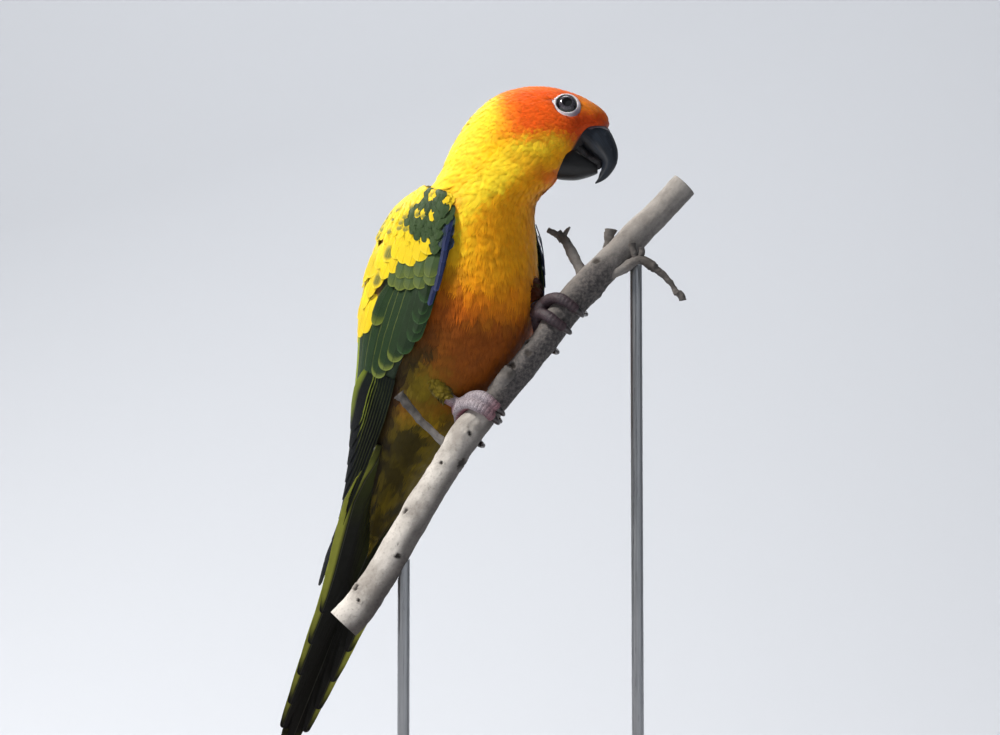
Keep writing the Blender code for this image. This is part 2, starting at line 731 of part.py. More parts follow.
def bed_scale(t, degrees):
    """Millimetres along the bed's curve for one degree there."""
    return (bed_point(t, degrees + 1, 0, 1) - bed_point(t, degrees - 1, 0, 1)).length / (2 * MM)


def bed_normal(t, degrees, hand):
    along = bed_point(t + 0.05, degrees, 0, hand) - bed_point(t - 0.05, degrees, 0, hand)
    around = bed_point(t, degrees + 2, 0, hand) - bed_point(t, degrees - 2, 0, hand)
    normal = along.cross(around).normalized() * hand
    centre = tube_point(WING_BED, t, 0.0) + tube_point(WING_BED, t, math.pi)
    outward = bed_point(t, degrees, 0, hand) - centre / 2
    return normal if normal.dot(outward) > 0 else -normal


def bed_vane(name, root, tip, half_width, lifts, hand, shape, tilt=0.17):
    """A vane on the bed. Its back edge is the higher one, by the tilt in millimetres for each millimetre."""
    sections = []
    for s, fill, raised in shape:
        t = root[0] + (tip[0] - root[0]) * s
        middle = root[1] + (tip[1] - root[1]) * s
        lift = lifts[0] + (lifts[1] - lifts[0]) * raised
        scale = bed_scale(t, middle)
        section = []
        for side in (-1, 1):
            across = side * half_width * fill
            degrees = middle + across / scale
            point = bed_point(t, degrees, lift + across * tilt, hand)
            section.append((point, bed_normal(t, degrees, hand)))
        sections.append(section)
    return vane(name, sections, VANE_THICK, WING_GREEN)


def wing_core(name, hand, look):
    rings = []
    for i in range(CORE_RINGS):
        t = 0.05 + 6.4 * i / (CORE_RINGS - 1)
        front = table_at(WING_EDGE, t) + 3
        rear = 158 - 26 * smoothstep(1.2, 0.0, t) - 8 * smoothstep(4.5, 6.5, t)
        taper = min(1.0, (t + 0.3) / 1.1, (7.0 - t) / 1.6)
        outer, inner = [], []
        for j in range(6):
            u = j / 5
            degrees = front + (rear - front) * u
            swell = math.sin(math.pi * (0.04 + 0.92 * u)) ** 0.5
            outer.append(bed_point(t, degrees, 0.7 * taper * swell - 1.2 * (1 - swell), hand))
            inner.append(bed_point(t, degrees, -3.6 - MANTLE_RISE * smoothstep(80, 125, degrees), hand))
        rings.append(outer + inner[::-1])
    return loft(name, rings, look)


def tier(name, plan, hand):
    count, length, half_width, lifts, shape, tips = plan
    places = [k * (len(tips) - 1) / (count - 1) for k in range(count)]
    vanes = []
    for k, x in enumerate(places):
        t, degrees = row_at(tips, x)
        root = (t - length, degrees + (table_at(WING_EDGE, t - length) - table_at(WING_EDGE, t)) * 0.5)
        vanes.append(bed_vane(f"{name} {k}", root, (t, degrees), half_width, lifts, hand, shape))
    return vanes


def primaries(hand):
    """The outermost is the lowest and longest, and shows along the wing's front edge."""
    vanes = []
    for k in range(PRIMARY_COUNT):
        tip_t = PRIMARY_TIP - PRIMARY_STEP * k
        sections = []
        for s, fill in ((0.0, 0.8), (0.4, 1.0), (0.85, 0.8), (1.0, 0.24)):
            t = PRIMARY_ROOT + (tip_t - PRIMARY_ROOT) * s
            scale = bed_scale(t, table_at(WING_EDGE, t) + 10)
            width = PRIMARY_HALF_WIDTH * fill
            middle = table_at(WING_EDGE, t) + (PRIMARY_HALF_WIDTH + 2.1 * k * (1 - 0.35 * s)) / scale
            section = []
            for side in (-1, 1):
                degrees = middle + side * width / scale
                lift = -0.3 + 0.85 * k * smoothstep(-0.2, 0.4, s) + side * width * 0.08
                section.append((bed_point(t, degrees, lift, hand), bed_normal(t, degrees, hand)))
            sections.append(section)
        vanes.append(vane(f"primary {k}", sections, VANE_THICK, WING_GREEN))
    return vanes


def build_wing(name, hand):
    wing = wing_core("wing_" + name, hand, WING_GREEN)
    vanes = primaries(hand)
    for label, plan in TIERS.items():
        vanes += tier(label, plan, hand)
    fuse(wing, vanes)
    return carve(wing, body_forms(GAP + 0.12), "MANIFOLD")


WINGS = build_wing("left", -1), build_wing("right", 1)

# Tail: a feathered root with vanes under and over each other

def tail_point(along, side, up):
    """A point of the tail: along it, to the bird's left and towards its back."""
    turn = TAIL_ROLL * smoothstep(5, 30, along)
    side, up = side * math.cos(turn) + up * math.sin(turn), up * math.cos(turn) - side * math.sin(turn)
    q = TAIL_ROOT[0] - along * math.sin(TAIL_LEAN) - up * math.cos(TAIL_LEAN)
    h = TAIL_ROOT[1] - along * math.cos(TAIL_LEAN) + up * math.sin(TAIL_LEAN)
    return posed(q, side, h)


def build_tail():
    tail = body_length("tail", 0.0, TAIL_CUT + 1, TAIL_RINGS, TAIL_OLIVE)
    slice_off(tail, *cut_plane(TAIL_CUT), keep_above=False)
    vanes = []
    for k, (length, offset, half_width) in enumerate(TAIL_PAIRS):
        for hand in (-1, 1):
            level = 2.0 - TAIL_STEP * (k + (1 if k or hand == 1 else 0))
            sections = []
            for s, fill in ((0.0, 0.7), (0.3, 1.0), (0.65, 0.95), (0.92, 0.7), (1.0, 0.16)):
                along = 12 + (length - 12) * s
                section = []
                for side in (-1, 1):
                    across = hand * offset + side * half_width * fill
                    point = tail_point(along, across, level)
                    normal = tail_point(along, across, level + 1) - point
                    section.append((point, normal.normalized()))
                sections.append(section)
            vanes.append(vane(f"tail vane {k} {hand}", sections, VANE_THICK, TAIL_OLIVE))
    return fuse(tail, vanes)


TAIL = build_tail()

# Legs and feet

def toe_path(stops, start, end, count):
    """Centres on the branch from one place on the list of stops to another."""
    centres = []
    for i in range(count):
        x = start + (end - start) * i / (count - 1)
        t, degrees = row_at(stops, x)
        radius = TOE_RADIUS + (TOE_TIP_RADIUS - TOE_RADIUS) * x / (len(stops) - 1)
        centres.append((branch_surface(t, math.radians(degrees), radius * 0.8), radius))
    return centres


def palm_and_shank(names, plan, place=None):
    """The pad that holds the branch, and the scaled shank from it up to the ankle."""
    t, degrees = plan["palm"]
    centre, along, _ = branch_at(t)
    palm = branch_surface(t, math.radians(degrees), 2.2)
    out = (palm - centre).normalized()
    axes = [way * reach * MM for way, reach in zip((out, along, out.cross(along)), PALM_AXES)]
    ankle = posed(*plan["ankle"])
    return (
        ellipsoid(names[0], palm, axes, FOOT_GREY, place=place),
        swept(names[1], [palm, palm.lerp(ankle, 0.5), ankle], SHANK_RADII, FOOT_GREY, place=CUTTERS),
    )


def build_foot(name, plan):
    bark = bark_form()
    foot, shank = palm_and_shank(("foot_" + name, "shank"), plan)
    pieces = [shank]
    claws = []
    for k, stops in enumerate(plan["front"] + plan["hind"]):
        path = toe_path(stops, 0, len(stops) - 1, TOE_RINGS)
        radii = [radius * (1 + 0.07 * math.cos(i * 2.1)) for i, (_, radius) in enumerate(path)]
        pieces.append(swept(f"toe {k}", [c for c, _ in path], radii, FOOT_GREY, place=CUTTERS))
        # The claw runs on from the toe, lifts off the bark and comes back to it at its point
        t_end, degrees_end = stops[-1]
        turn = math.copysign(1, degrees_end)
        centres, thick = [], []
        for i in range(7):
            u = i / 6
            swing = math.radians(degrees_end + turn * (4 + CLAW_TURN * u))
            lift = 1.55 + 1.0 * math.sin(math.pi * u) - 0.95 * u
            centres.append(branch_surface(t_end, swing, lift))
            thick.append(1.3 * (1 - u) ** 0.7 + 0.22)
        claws.append((centres, thick))
    fuse(foot, pieces)
    carve(foot, [bark, body_forms(GAP)[0]])
    made = []
    for k, (centres, thick) in enumerate(claws):
        where = ("front_outer", "front_inner", "hind_outer", "hind_inner")[k]
        claw = swept(f"claw_{name}_{where}", centres, thick, CLAW_DARK)
        carve(claw, [bark])
        carve(foot, [grow(swept("claw form", centres, thick, CLAW_DARK, place=CUTTERS), GAP)])
        made.append(claw)
    return foot, made


FOOT_RIGHT = build_foot("right", FEET["right"])
FOOT_LEFT = build_foot("left", FEET["left"])


def build_leg(name, plan):
    """The feathered leg where it shows on the belly, down to the foot."""
    leg = swept("leg_" + name, [posed(*stop) for stop in plan["leg"]], LEG_RADII, YELLOW, 14)
    foot_forms = [grow(form, GAP) for form in palm_and_shank(("palm form", "shank form"), plan, CUTTERS)]
    return carve(leg, [body_forms(GAP)[0], bark_form(), *foot_forms])


LEGS = build_leg("right", FEET["right"]), build_leg("left", FEET["left"])

# Stand

def build_stand():
    bpy.ops.mesh.primitive_cube_add(size=1)
    base = adopt("stand_base", PLINTH, matrix=Matrix.Diagonal((*BASE_SIZE, 1)))
    work = bmesh.new()
    work.from_mesh(base.data)
    upright = [e for e in work.edges if abs(e.verts[0].co.z - e.verts[1].co.z) > 0.005]
    bmesh.ops.bevel(work, geom=upright, offset=BASE_ROUND, segments=6, profile=0.5, affect="EDGES")
    bmesh.ops.translate(work, verts=work.verts, vec=(0, 0, BASE_SIZE[2] / 2))
    top = [e for e in work.edges if min(v.co.z for v in e.verts) > BASE_SIZE[2] - 1e-5]
    bmesh.ops.bevel(work, geom=top, offset=0.0012, segments=2, profile=0.5, affect="EDGES")
    work.to_mesh(base.data)
    work.free()
    rods = []
    line = [branch_at((len(BRANCH_ROWS) - 1) * i / 199)[0] for i in range(200)]
    for name, (x, y) in ROD_AT.items():
        foot = BASE_SIZE[2] + GAP * MM
        top = next(centre.z for centre in line if centre.x > x)
        middle = Matrix.Translation((x, y, (foot + top) / 2))
        bpy.ops.mesh.primitive_cylinder_add(vertices=20, radius=ROD_RADIUS, depth=top - foot)
        rods.append(carve(adopt("stand_rod_" + name, STEEL, matrix=middle), [bark_form()]))
    return base, rods


STAND = build_stand()

# Round forms shade smoothly, up to their true edges
for part in PARTS.objects:
    part.data.shade_smooth()
    part.data.set_sharp_from_angle(angle=math.radians(38))
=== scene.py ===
"""The looks of a life-size sun conure on a short cut branch, held by a plain display stand.

The scene is in metres, +Z up. The bird's own lengths are in millimetres: q runs forward, h runs up, and
side runs to its left, as in the solids that it dresses.
"""

import math
from types import SimpleNamespace

import bpy
import numpy as np
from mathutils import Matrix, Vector


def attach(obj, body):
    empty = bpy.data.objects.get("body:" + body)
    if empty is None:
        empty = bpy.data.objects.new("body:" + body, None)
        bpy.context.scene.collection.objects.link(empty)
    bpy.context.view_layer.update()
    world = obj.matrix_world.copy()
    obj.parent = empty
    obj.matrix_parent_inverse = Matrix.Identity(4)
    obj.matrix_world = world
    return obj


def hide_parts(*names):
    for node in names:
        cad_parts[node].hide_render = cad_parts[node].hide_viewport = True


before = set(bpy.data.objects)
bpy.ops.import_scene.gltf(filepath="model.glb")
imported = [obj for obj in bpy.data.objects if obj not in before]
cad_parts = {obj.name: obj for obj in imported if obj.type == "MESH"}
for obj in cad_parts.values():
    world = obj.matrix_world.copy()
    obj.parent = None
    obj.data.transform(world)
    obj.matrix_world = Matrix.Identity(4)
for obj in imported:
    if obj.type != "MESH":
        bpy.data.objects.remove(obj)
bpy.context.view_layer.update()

MM = 0.001
PI, FULL_TURN = math.pi, 2 * math.pi


def table(columns, text):
    """Rows of numbers from their text."""
    return np.array(text.split(), float).reshape(-1, columns)


# The bird's place and pose, and its rings, repeated from the solids: centre q and h, lean in degrees,
# half width, and depth in front of and behind the centre
DATUM = np.array([5.2, -17.0, 220.5])
BODY_HEADING, HEAD_HEADING = math.radians(43), math.radians(86)
HEAD_ROLL, HEAD_LIFT = math.radians(10), 1.2
TURN_FROM, TURN_TO = 8.5, 13.5
BODY_RINGS = table(
    6,
    """
    -62.0 -121.0 30 3.0 1.4 1.4     -57.5 -113.0 30 6.5 3.2 2.6     -50.0 -99.5 30 11.0 8.0 5.0
    -43.5 -88.0 30 16.0 13.5 8.5    -37.0 -76.0 28 21.0 20.5 16.0   -29.5 -63.0 24 25.5 27.5 21.0
    -22.5 -48.0 18 29.0 32.5 26.0   -17.0 -32.0 13 29.5 33.0 28.0   -13.0 -18.0 14 27.0 29.5 27.0
    -8.5 -6.5 16 23.5 25.5 23.0     -1.5 0.5 13 18.8 19.7 19.2      1.6 5.6 14 16.6 20.0 20.0
    4.9 10.7 18 15.4 20.6 20.6      8.0 15.9 26 14.8 20.5 20.5      11.5 19.8 35 14.4 20.0 21.0
    16.3 24.0 49 14.1 19.2 20.4     21.6 26.4 61 13.6 17.5 18.5     27.0 27.6 73 12.6 15.0 15.8
    32.3 28.0 84 10.9 12.0 12.7     37.3 27.6 98 8.6 8.7 9.4        41.0 26.9 112 6.4 6.0 6.7
    43.3 25.8 132 4.0 3.4 3.9
    """,
)
LAST_RING = len(BODY_RINGS) - 1
# The bed under the wings, in rings of the same kind, and the wing's front edge: its places on the bed and
# degrees from the breast
WING_BED = table(
    6,
    """
    -5.0 3.0 14 21.5 21.5 21.0      -9.0 -7.0 15 26.0 27.5 26.0     -13.0 -18.0 14 29.5 31.0 30.0
    -17.0 -32.0 13 31.5 34.5 31.0   -22.5 -48.0 18 31.0 34.0 29.5   -29.5 -63.0 24 27.5 29.0 25.0
    -37.0 -76.0 28 23.5 22.0 21.0   -43.5 -88.0 30 20.5 15.5 16.5   -52.0 -103.0 30 17.5 11.0 14.5
    -61.0 -119.0 30 15.5 9.0 13.5   -72.0 -138.0 30 13.5 8.0 12.5   -83.0 -157.0 30 12.0 7.0 11.5
    """,
)
WING_EDGE = table(
    2,
    """
    0.0 74  0.3 64  0.9 56  1.7 51  2.4 51  3.3 57  3.9 64
    4.7 70  5.5 74  6.5 77  7.5 86  8.0 94  8.9 112  10.4 124
    """,
)
MANTLE_RISE, LEFT_WING_BACK, TIP_RISE = 1.2, 5.0, 1.6
TAIL_ROOT, TAIL_LEAN, TAIL_ROLL = (-42.0, -86.0), math.radians(32), math.radians(20)
# Pairs of tail feathers from the middle out: length, offset from the middle, and half width
TAIL_PAIRS = table(3, "136 1.2 5.8  128 4.8 4.4  117 5.8 4.6  104 6.9 4.7  90 7.8 4.7  76 8.5 4.5")
TAIL_STEP = 0.62
# Sections of the bill: q and h of its upper and lower side, and its half width
UPPER_BILL = table(
    5,
    """
    38.0 28.0 28.0 22.0 5.4     42.3 27.6 31.0 21.8 5.7     45.8 24.9 34.0 19.6 5.7
    47.4 21.6 36.4 17.4 5.3     48.4 18.4 38.4 15.6 4.7     48.6 15.6 40.6 14.1 4.0
    48.2 12.8 42.3 12.4 3.1     46.9 10.1 42.3 10.4 2.2     44.6 7.2 41.6 8.6 1.3
    42.4 5.7 41.1 6.9 0.8       40.2 4.8 40.0 5.2 0.3
    """,
)
LOWER_BILL = table(
    5,
    """
    27.0 20.0 24.5 7.4 5.2      32.2 19.8 29.0 6.7 5.5      35.2 17.0 33.0 6.6 5.0
    37.6 14.6 36.6 7.4 4.2      39.6 13.2 39.2 8.2 3.2      41.0 12.2 40.9 8.9 1.9
    """,
)
EYE_AT, EYE_RADIUS, EYE_DEPTH = (30.2, 10.5, 32.8), 5.0, 3.6
# The branch's line and radius
BRANCH_ROWS = table(
    4,
    """
    -47.0 -22.0 64.7 6.6    -41.5 -22.0 70.6 6.4    -34.0 -22.0 81.3 6.0    -24.6 -22.0 97.5 5.9
    -11.6 -22.0 119.2 5.6   -4.3 -22.0 131.0 5.9    4.0 -22.0 141.5 5.6     11.8 -22.0 150.0 4.9
    24.7 -22.0 166.5 5.0    36.7 -22.0 182.8 5.8    55.8 -22.0 202.8 5.5    78.0 -22.0 226.0 5.0
    """,
)
# The side twigs, and the scene's own dark shoots, knobs and a bud: rows of a place and a radius
TWIGS = [
    table(4, rows)
    for rows in (
        "-8.0 -22.0 128.0 2.0  -13.0 -22.5 133.0 1.4  -20.0 -23.0 140.0 1.5  -27.0 -23.5 148.5 1.8",
        "42.0 -22.0 188.0 2.6  39.0 -20.0 196.0 2.0  34.5 -18.0 205.0 1.8  31.5 -17.0 209.0 1.5",
        "47.0 -22.0 192.0 2.8  54.0 -25.0 194.0 2.1  61.0 -27.0 197.5 1.8  67.0 -28.0 194.0 1.5",
        "9.0 -21.0 149.5 4.0  12.0 -24.5 154.0 3.4  14.0 -26.0 158.0 2.4",
    )
]
SHOOTS = [
    table(4, rows)
    for rows in (
        "33.0 -17.5 206.0 1.3  30.5 -17.2 208.5 1.0  27.5 -17.0 210.0 0.9",
        "33.0 -17.5 206.0 1.3  34.0 -17.4 208.5 1.0  35.8 -17.5 211.0 0.9",
        "66.0 -28.0 194.6 1.5  71.0 -28.0 190.5 1.0  75.0 -28.0 184.8 1.1",
        "60.0 -26.6 196.8 1.5  58.8 -27.0 200.5 1.1  58.4 -27.0 203.5 1.3",
        "60.5 -26.8 197.0 1.4  62.0 -27.2 200.0 1.1  61.6 -27.4 202.0 0.9",
        "47.5 -22.0 196.0 1.6  49.5 -22.0 202.0 1.7  50.5 -22.0 209.5 2.1",
        "75.0 -28.0 185.4 1.2  76.2 -28.0 183.8 1.3  76.5 -28.2 182.6 1.0",
    )
]
# Scars of the bark: place along the branch, degrees round it, and size
SCARS = table(
    3,
    """
    3.28 46 1.8  2.59 111 1.6  1.47 35 2.0  1.2 80 1.1  4.47 147 3.0  4.2 70 1.0
    7.4 42 3.2  7.75 75 2.0  7.9 30 1.6  9.6 50 2.0  5.3 100 1.1
    """,
)
# The feet: the palm's place and degrees on the branch, the ankle, the leg's line, and each toe's
# places and degrees: the two in front, then the two behind
FEET = {
    "right": {
        "palm": (5.75, -8),
        "ankle": (-7.0, -13.5, -73.0),
        "leg": ((-13.5, -18.0, -54.0), (-11.2, -15.9, -65.0), (-7.4, -13.9, -72.3)),
        "toes": (
            ((5.75, 0), (5.95, 45), (6.05, 90), (6.05, 124)),
            ((6.0, 0), (6.3, 45), (6.42, 85), (6.42, 116)),
            ((5.6, -25), (5.35, -65), (5.25, -100), (5.3, -130)),
            ((5.9, -25), (6.1, -65), (6.2, -95), (6.2, -122)),
        ),
    },
    "left": {
        "palm": (8.55, -8),
        "ankle": (14.5, 11.0, -38.0),
        "leg": ((6.0, 13.0, -24.0), (10.1, 12.4, -32.0), (13.2, 11.8, -36.4)),
        "toes": (
            ((8.45, 0), (8.5, 45), (8.5, 90), (8.5, 124)),
            ((8.7, 0), (8.85, 45), (8.9, 85), (8.9, 118)),
            ((8.4, -25), (8.2, -65), (8.1, -100), (8.1, -130)),
            ((8.7, -25), (8.9, -65), (9.0, -95), (9.0, -122)),
        ),
    },
}
TOES = ("front_outer", "front_inner", "hind_outer", "hind_inner")
TOE_RADIUS, TOE_TIP_RADIUS, CLAW_TURN = 2.3, 1.75, 42
LEG_RADII = (2.4, 4.6, 3.4)


# Numbers and shapes


def ease(low, high, x):
    """Goes from 0 to 1 as x goes from low to high, slowly at both ends."""
    u = np.clip((np.asarray(x, float) - low) / (high - low), 0, 1)
    return u * u * (3 - 2 * u)


def bell(*axes):
    """1 in the middle and less away from it; each axis is its values, their middle and a width."""
    return np.exp(-sum(((x - middle) / width) ** 2 for x, middle, width in axes))


def mix(first, second, share):
    share = np.asarray(share, float)[..., None]
    return first * (1 - share) + second * share


def unit(vectors):
    return vectors / np.maximum(np.linalg.norm(vectors, axis=-1, keepdims=True), 1e-9)


def once_round(sides):
    return np.linspace(0, FULL_TURN, sides, endpoint=False)


def tube_net(last, rings, sides):
    """Places from 0 to the last and angles, for each point of a tube."""
    return np.meshgrid(np.linspace(0, last, rings), once_round(sides), indexing="ij")


def srgb(red, green, blue):
    """A colour as a screen shows it, from 0 to 255, in linear values."""
    c = np.array([red, green, blue], float) / 255
    return np.where(c <= 0.04045, c / 12.92, ((c + 0.055) / 1.055) ** 2.4)


def rows_at(rows, t):
    """The table's rows at places t, on a smooth curve that runs straight on past its ends."""
    last = len(rows) - 1
    t = np.asarray(t, float)
    inside = np.clip(t, 0, last)
    i = np.minimum(inside.astype(int), last - 1)
    u = (inside - i)[..., None]
    a, b, c, d = (rows[np.clip(i + k, 0, last)] for k in (-1, 0, 1, 2))
    fourth, third = 3 * b - a - 3 * c + d, 2 * a - 5 * b + 4 * c - d
    value = 0.5 * (2 * b + (c - a) * u + third * u * u + fourth * u**3)
    slope = 0.5 * ((c - a) + 2 * third * u + 3 * fourth * u * u)
    return value + slope * (t - inside)[..., None]


def spline(stops, count):
    stops = np.asarray(stops, float)
    return rows_at(stops, np.linspace(0, len(stops) - 1, count))


def noise(points, size, seed=0):
    """Smooth noise from -1 to 1, with lumps of the given size."""
    p = np.asarray(points, float) / size + 13.7 * seed
    low = np.floor(p)
    f = p - low
    f = f * f * (3 - 2 * f)
    total = 0.0
    for corner in range(8):
        step = np.array([corner & 1, corner >> 1 & 1, corner >> 2 & 1])
        value = np.sin((low + step) @ np.array([127.1, 311.7, 74.7]) + 0.5) * 43758.5453
        value = (value - np.floor(value)) * 2 - 1
        total = total + value * np.prod(np.where(step, f, 1 - f), axis=-1)
    return total


def posed(q, side, h, turned=0.0):
    """Points of the straight side view, on the bird's heading; turned is 1 where the head's pose is full."""
    heading = BODY_HEADING + (HEAD_HEADING - BODY_HEADING) * turned
    x = q * np.sin(heading) + side * np.cos(heading)
    y = -q * np.cos(heading) + side * np.sin(heading)
    roll = HEAD_ROLL * turned
    y, z = y * np.cos(roll) + h * np.sin(roll), h * np.cos(roll) - y * np.sin(roll)
    return np.stack(np.broadcast_arrays(x, y, z + HEAD_LIFT * turned), -1) + DATUM


def head_point(q, side, h):
    return posed(q, side, h, 1.0)


def flat_ring(rows, t, angle, grow=0.0):
    """Points on a tube in the straight side view: angle 0 is the breast, a quarter turn the bird's right."""
    q, h, lean, half, front, back = np.moveaxis(rows_at(rows, t), -1, 0)
    lean = np.radians(lean)
    out = np.maximum(np.where(np.cos(angle) > 0, front, back) + grow, 0.5) * np.cos(angle)
    side = -np.maximum(half + grow, 0.5) * np.sin(angle)
    return q + out * np.cos(lean), side, h - out * np.sin(lean)


def from_breast(angle):
    """Degrees round the body from the middle of the breast, on either side."""
    return np.degrees(np.arccos(np.clip(np.cos(angle), -1, 1)))


def past_margin(q, h):
    """How far in front of the feathers' margin at the bill a point of the side view lies."""
    heights = [5, 6.5, 8.4, 10.4, 13.5, 16.6, 19.2, 21.6, 23.2, 25.1, 25.8, 26.4]
    return q - np.interp(h, heights, [28.5, 27.9, 25.8, 26.5, 29.2, 31.7, 33.0, 34.3, 36.3, 38.6, 42.2, 49.0])


def cheek_line(q):
    """The height of the mask's lower edge."""
    return np.interp(q, [2, 8, 14, 20, 31, 37], [21, 20, 20, 20.5, 18.6, 17])


def body_surface(t, angle, lift=0.0):
    """The plumage's outline, or a surface beside it; the face narrows to the root of the bill."""
    q, side, h = flat_ring(BODY_RINGS, t, angle, lift)
    ahead = past_margin(q, h)
    limit = 4.9 - 0.6 * np.clip(ahead, 0, 3)
    squeeze = ease(-2.4, 0.3, ahead) * ease(15.0, 16.5, t)
    side = side + (np.clip(side, -limit, limit) - side) * squeeze
    return posed(q, side, h, ease(TURN_FROM, TURN_TO, t))


def wing_start(hand):
    """Where the wing's feathers begin: lower on the left, where the turned neck leaves the bed bare."""
    return 0.0 if hand == 1 else 0.95


def hand_name(hand):
    """The side of a wing: 1 is the bird's right, because angles on the body run to its right."""
    return "right" if hand == 1 else "left"


def bed_edge(t):
    """The wing's front edge, in degrees from the breast."""
    return np.interp(t, WING_EDGE[:, 0], WING_EDGE[:, 1])


def bed_points(t, degrees, lift, hand):
    rise = MANTLE_RISE * ease(80, 125, degrees) * (1 - ease(138, 165, degrees)) * (1 - ease(6.5, 9.0, t))
    back = np.where(np.asarray(hand) < 0, LEFT_WING_BACK * (1 - ease(5.0, 8.0, t)), 0.0)
    return posed(*flat_ring(WING_BED, t, hand * np.radians(degrees + back), lift + rise))


def wing_surface(hand):
    return lambda t, angle, lift=0.0: bed_points(t, np.degrees(angle), lift, hand)


def t_on_bed(t):
    """The place on the wing bed at the height of a place on the body."""
    places = np.linspace(0, 11, 111)
    return np.interp(-rows_at(BODY_RINGS, t)[..., 1], -rows_at(WING_BED, places)[:, 1], places)


def tail_points(along, side, up):
    turn = TAIL_ROLL * ease(5, 30, along)
    side, up = side * np.cos(turn) + up * np.sin(turn), up * np.cos(turn) - side * np.sin(turn)
    q = TAIL_ROOT[0] - along * math.sin(TAIL_LEAN) - up * math.cos(TAIL_LEAN)
    h = TAIL_ROOT[1] - along * math.cos(TAIL_LEAN) + up * math.sin(TAIL_LEAN)
    return posed(q, side, h)


def slopes(surface, t, angle):
    """How a surface's points move for a step along it and for a step round it."""
    step_t, step_a = 0.02, 0.01
    along = (surface(t + step_t, angle) - surface(t - step_t, angle)) / (2 * step_t)
    around = (surface(t, angle + step_a) - surface(t, angle - step_a)) / (2 * step_a)
    return along, around


def branch_frame(t):
    """Centres, directions, upper sides and radii of the branch at places t."""
    row, ahead, behind = (rows_at(BRANCH_ROWS, np.asarray(t) + step) for step in (0, 0.05, -0.05))
    along = unit(ahead[..., :3] - behind[..., :3])
    across = np.broadcast_to(np.array([0.0, -1.0, 0.0]), along.shape)
    up = unit(np.cross(across, along))
    up = np.where(up[..., 2:] < 0, -up, up)
    return row[..., :3], along, up, across, row[..., 3]


def branch_surface(t, angle, grow=0.0):
    centre, _, up, across, radius = branch_frame(t)
    angle = np.asarray(angle, float)[..., None]
    return centre + (up * np.cos(angle) + across * np.sin(angle)) * np.asarray(radius + grow)[..., None]


# Meshes


def make_mesh(name, points, face_sets, look, tints=None, uv=None, maps=None, floats=None):
    """A mesh object from arrays: points in millimetres, face index arrays, and values for each point."""
    mesh = bpy.data.meshes.new(name)
    points = np.asarray(points, np.float32).reshape(-1, 3) * MM
    face_sets = [np.asarray(f, np.int32) for f in face_sets if len(f)]
    loops = np.concatenate([f.ravel() for f in face_sets])
    sizes = np.concatenate([np.full(len(f), f.shape[1]) for f in face_sets])
    starts = np.concatenate([[0], np.cumsum(sizes)[:-1]]).astype(np.int32)
    mesh.vertices.add(len(points))
    mesh.vertices.foreach_set("co", points.ravel())
    mesh.loops.add(len(loops))
    mesh.loops.foreach_set("vertex_index", loops)
    mesh.polygons.add(len(sizes))
    mesh.polygons.foreach_set("loop_start", starts)
    mesh.update(calc_edges=True)
    for label, values in (tints or {}).items():
        colours = np.ones((len(points), 4), np.float32)
        colours[:, :3] = np.clip(values, 0, 1).reshape(-1, 3)
        mesh.color_attributes.new(label, "FLOAT_COLOR", "POINT").data.foreach_set("color", colours.ravel())
    for label, values in (floats or {}).items():
        mesh.attributes.new(label, "FLOAT", "POINT").data.foreach_set("value", np.asarray(values, np.float32))
    for label, values in {**(maps or {}), **({} if uv is None else {"OFBake": uv})}.items():
        values = np.asarray(values, np.float32).reshape(-1, 2)
        mesh.uv_layers.new(name=label).data.foreach_set("uv", values[loops].ravel())
    if uv is not None:
        mesh.uv_layers.active = mesh.uv_layers["OFBake"]
    made = bpy.data.objects.new(name, mesh)
    bpy.context.scene.collection.objects.link(made)
    mesh.materials.append(look)
    mesh.shade_smooth()
    return made


def put(piece, slot, *nodes):
    """Sets a piece on the model's one body, in place of the solids that it stands for."""
    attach(piece, "root")
    if nodes:
        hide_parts(*nodes)


def grid_faces(rows, columns, closed=False):
    """Four-sided faces between the rows and columns of a grid of points."""
    i, j = np.meshgrid(np.arange(rows - 1), np.arange(columns if closed else columns - 1), indexing="ij")
    k = (j + 1) % columns
    corners = [i * columns + j, i * columns + k, (i + 1) * columns + k, (i + 1) * columns + j]
    return np.stack(corners, -1).reshape(-1, 4)


def inside_out(points, faces):
    a, b, c = (points[faces[:, k]] for k in range(3))
    return np.einsum("ij,ij->i", a, np.cross(b, c)).sum() <= 0


def closed_tubes(*grids):
    """Tubes from grids of ring points: points, each tube's two end middles after its rings, and the faces."""
    points, walls, ends, total = [], [], [], 0
    for grid in grids:
        rings, sides = grid.shape[:2]
        tube = np.concatenate([grid.reshape(-1, 3), grid[0].mean(0)[None], grid[-1].mean(0)[None]])
        wall = grid_faces(rings, sides, closed=True)
        j = np.arange(sides)
        k = (j + 1) % sides
        first, top = np.full(sides, rings * sides), (rings - 1) * sides
        fans = np.concatenate([np.stack([k, j, first], -1), np.stack([top + j, top + k, first + 1], -1)])
        if inside_out(tube, wall):
            wall, fans = wall[:, ::-1], fans[:, ::-1]
        points.append(tube)
        walls.append(wall + total)
        ends.append(fans + total)
        total += len(tube)
    return np.concatenate(points), [np.concatenate(walls), np.concatenate(ends)]


def with_ends(values, *ends):
    """A tube's values as a list, with its two end middles' after them: the nearest ones if not given."""
    flat = values.reshape(-1, *values.shape[2:])
    return np.concatenate([flat, ends if ends else flat[[0, -1]]])


def along_path(centres, radii, sides):
    """A round tube along a line of centres, as rings of points."""
    side = np.array([0.31, 0.17, 0.93])
    turn = once_round(sides)[:, None]
    rings = []
    for centre, radius, direction in zip(centres, radii, unit(np.gradient(centres, axis=0))):
        side = unit(side - direction * side.dot(direction))
        rings.append(centre + (side * np.cos(turn) + np.cross(direction, side) * np.sin(turn)) * radius)
    return np.array(rings)


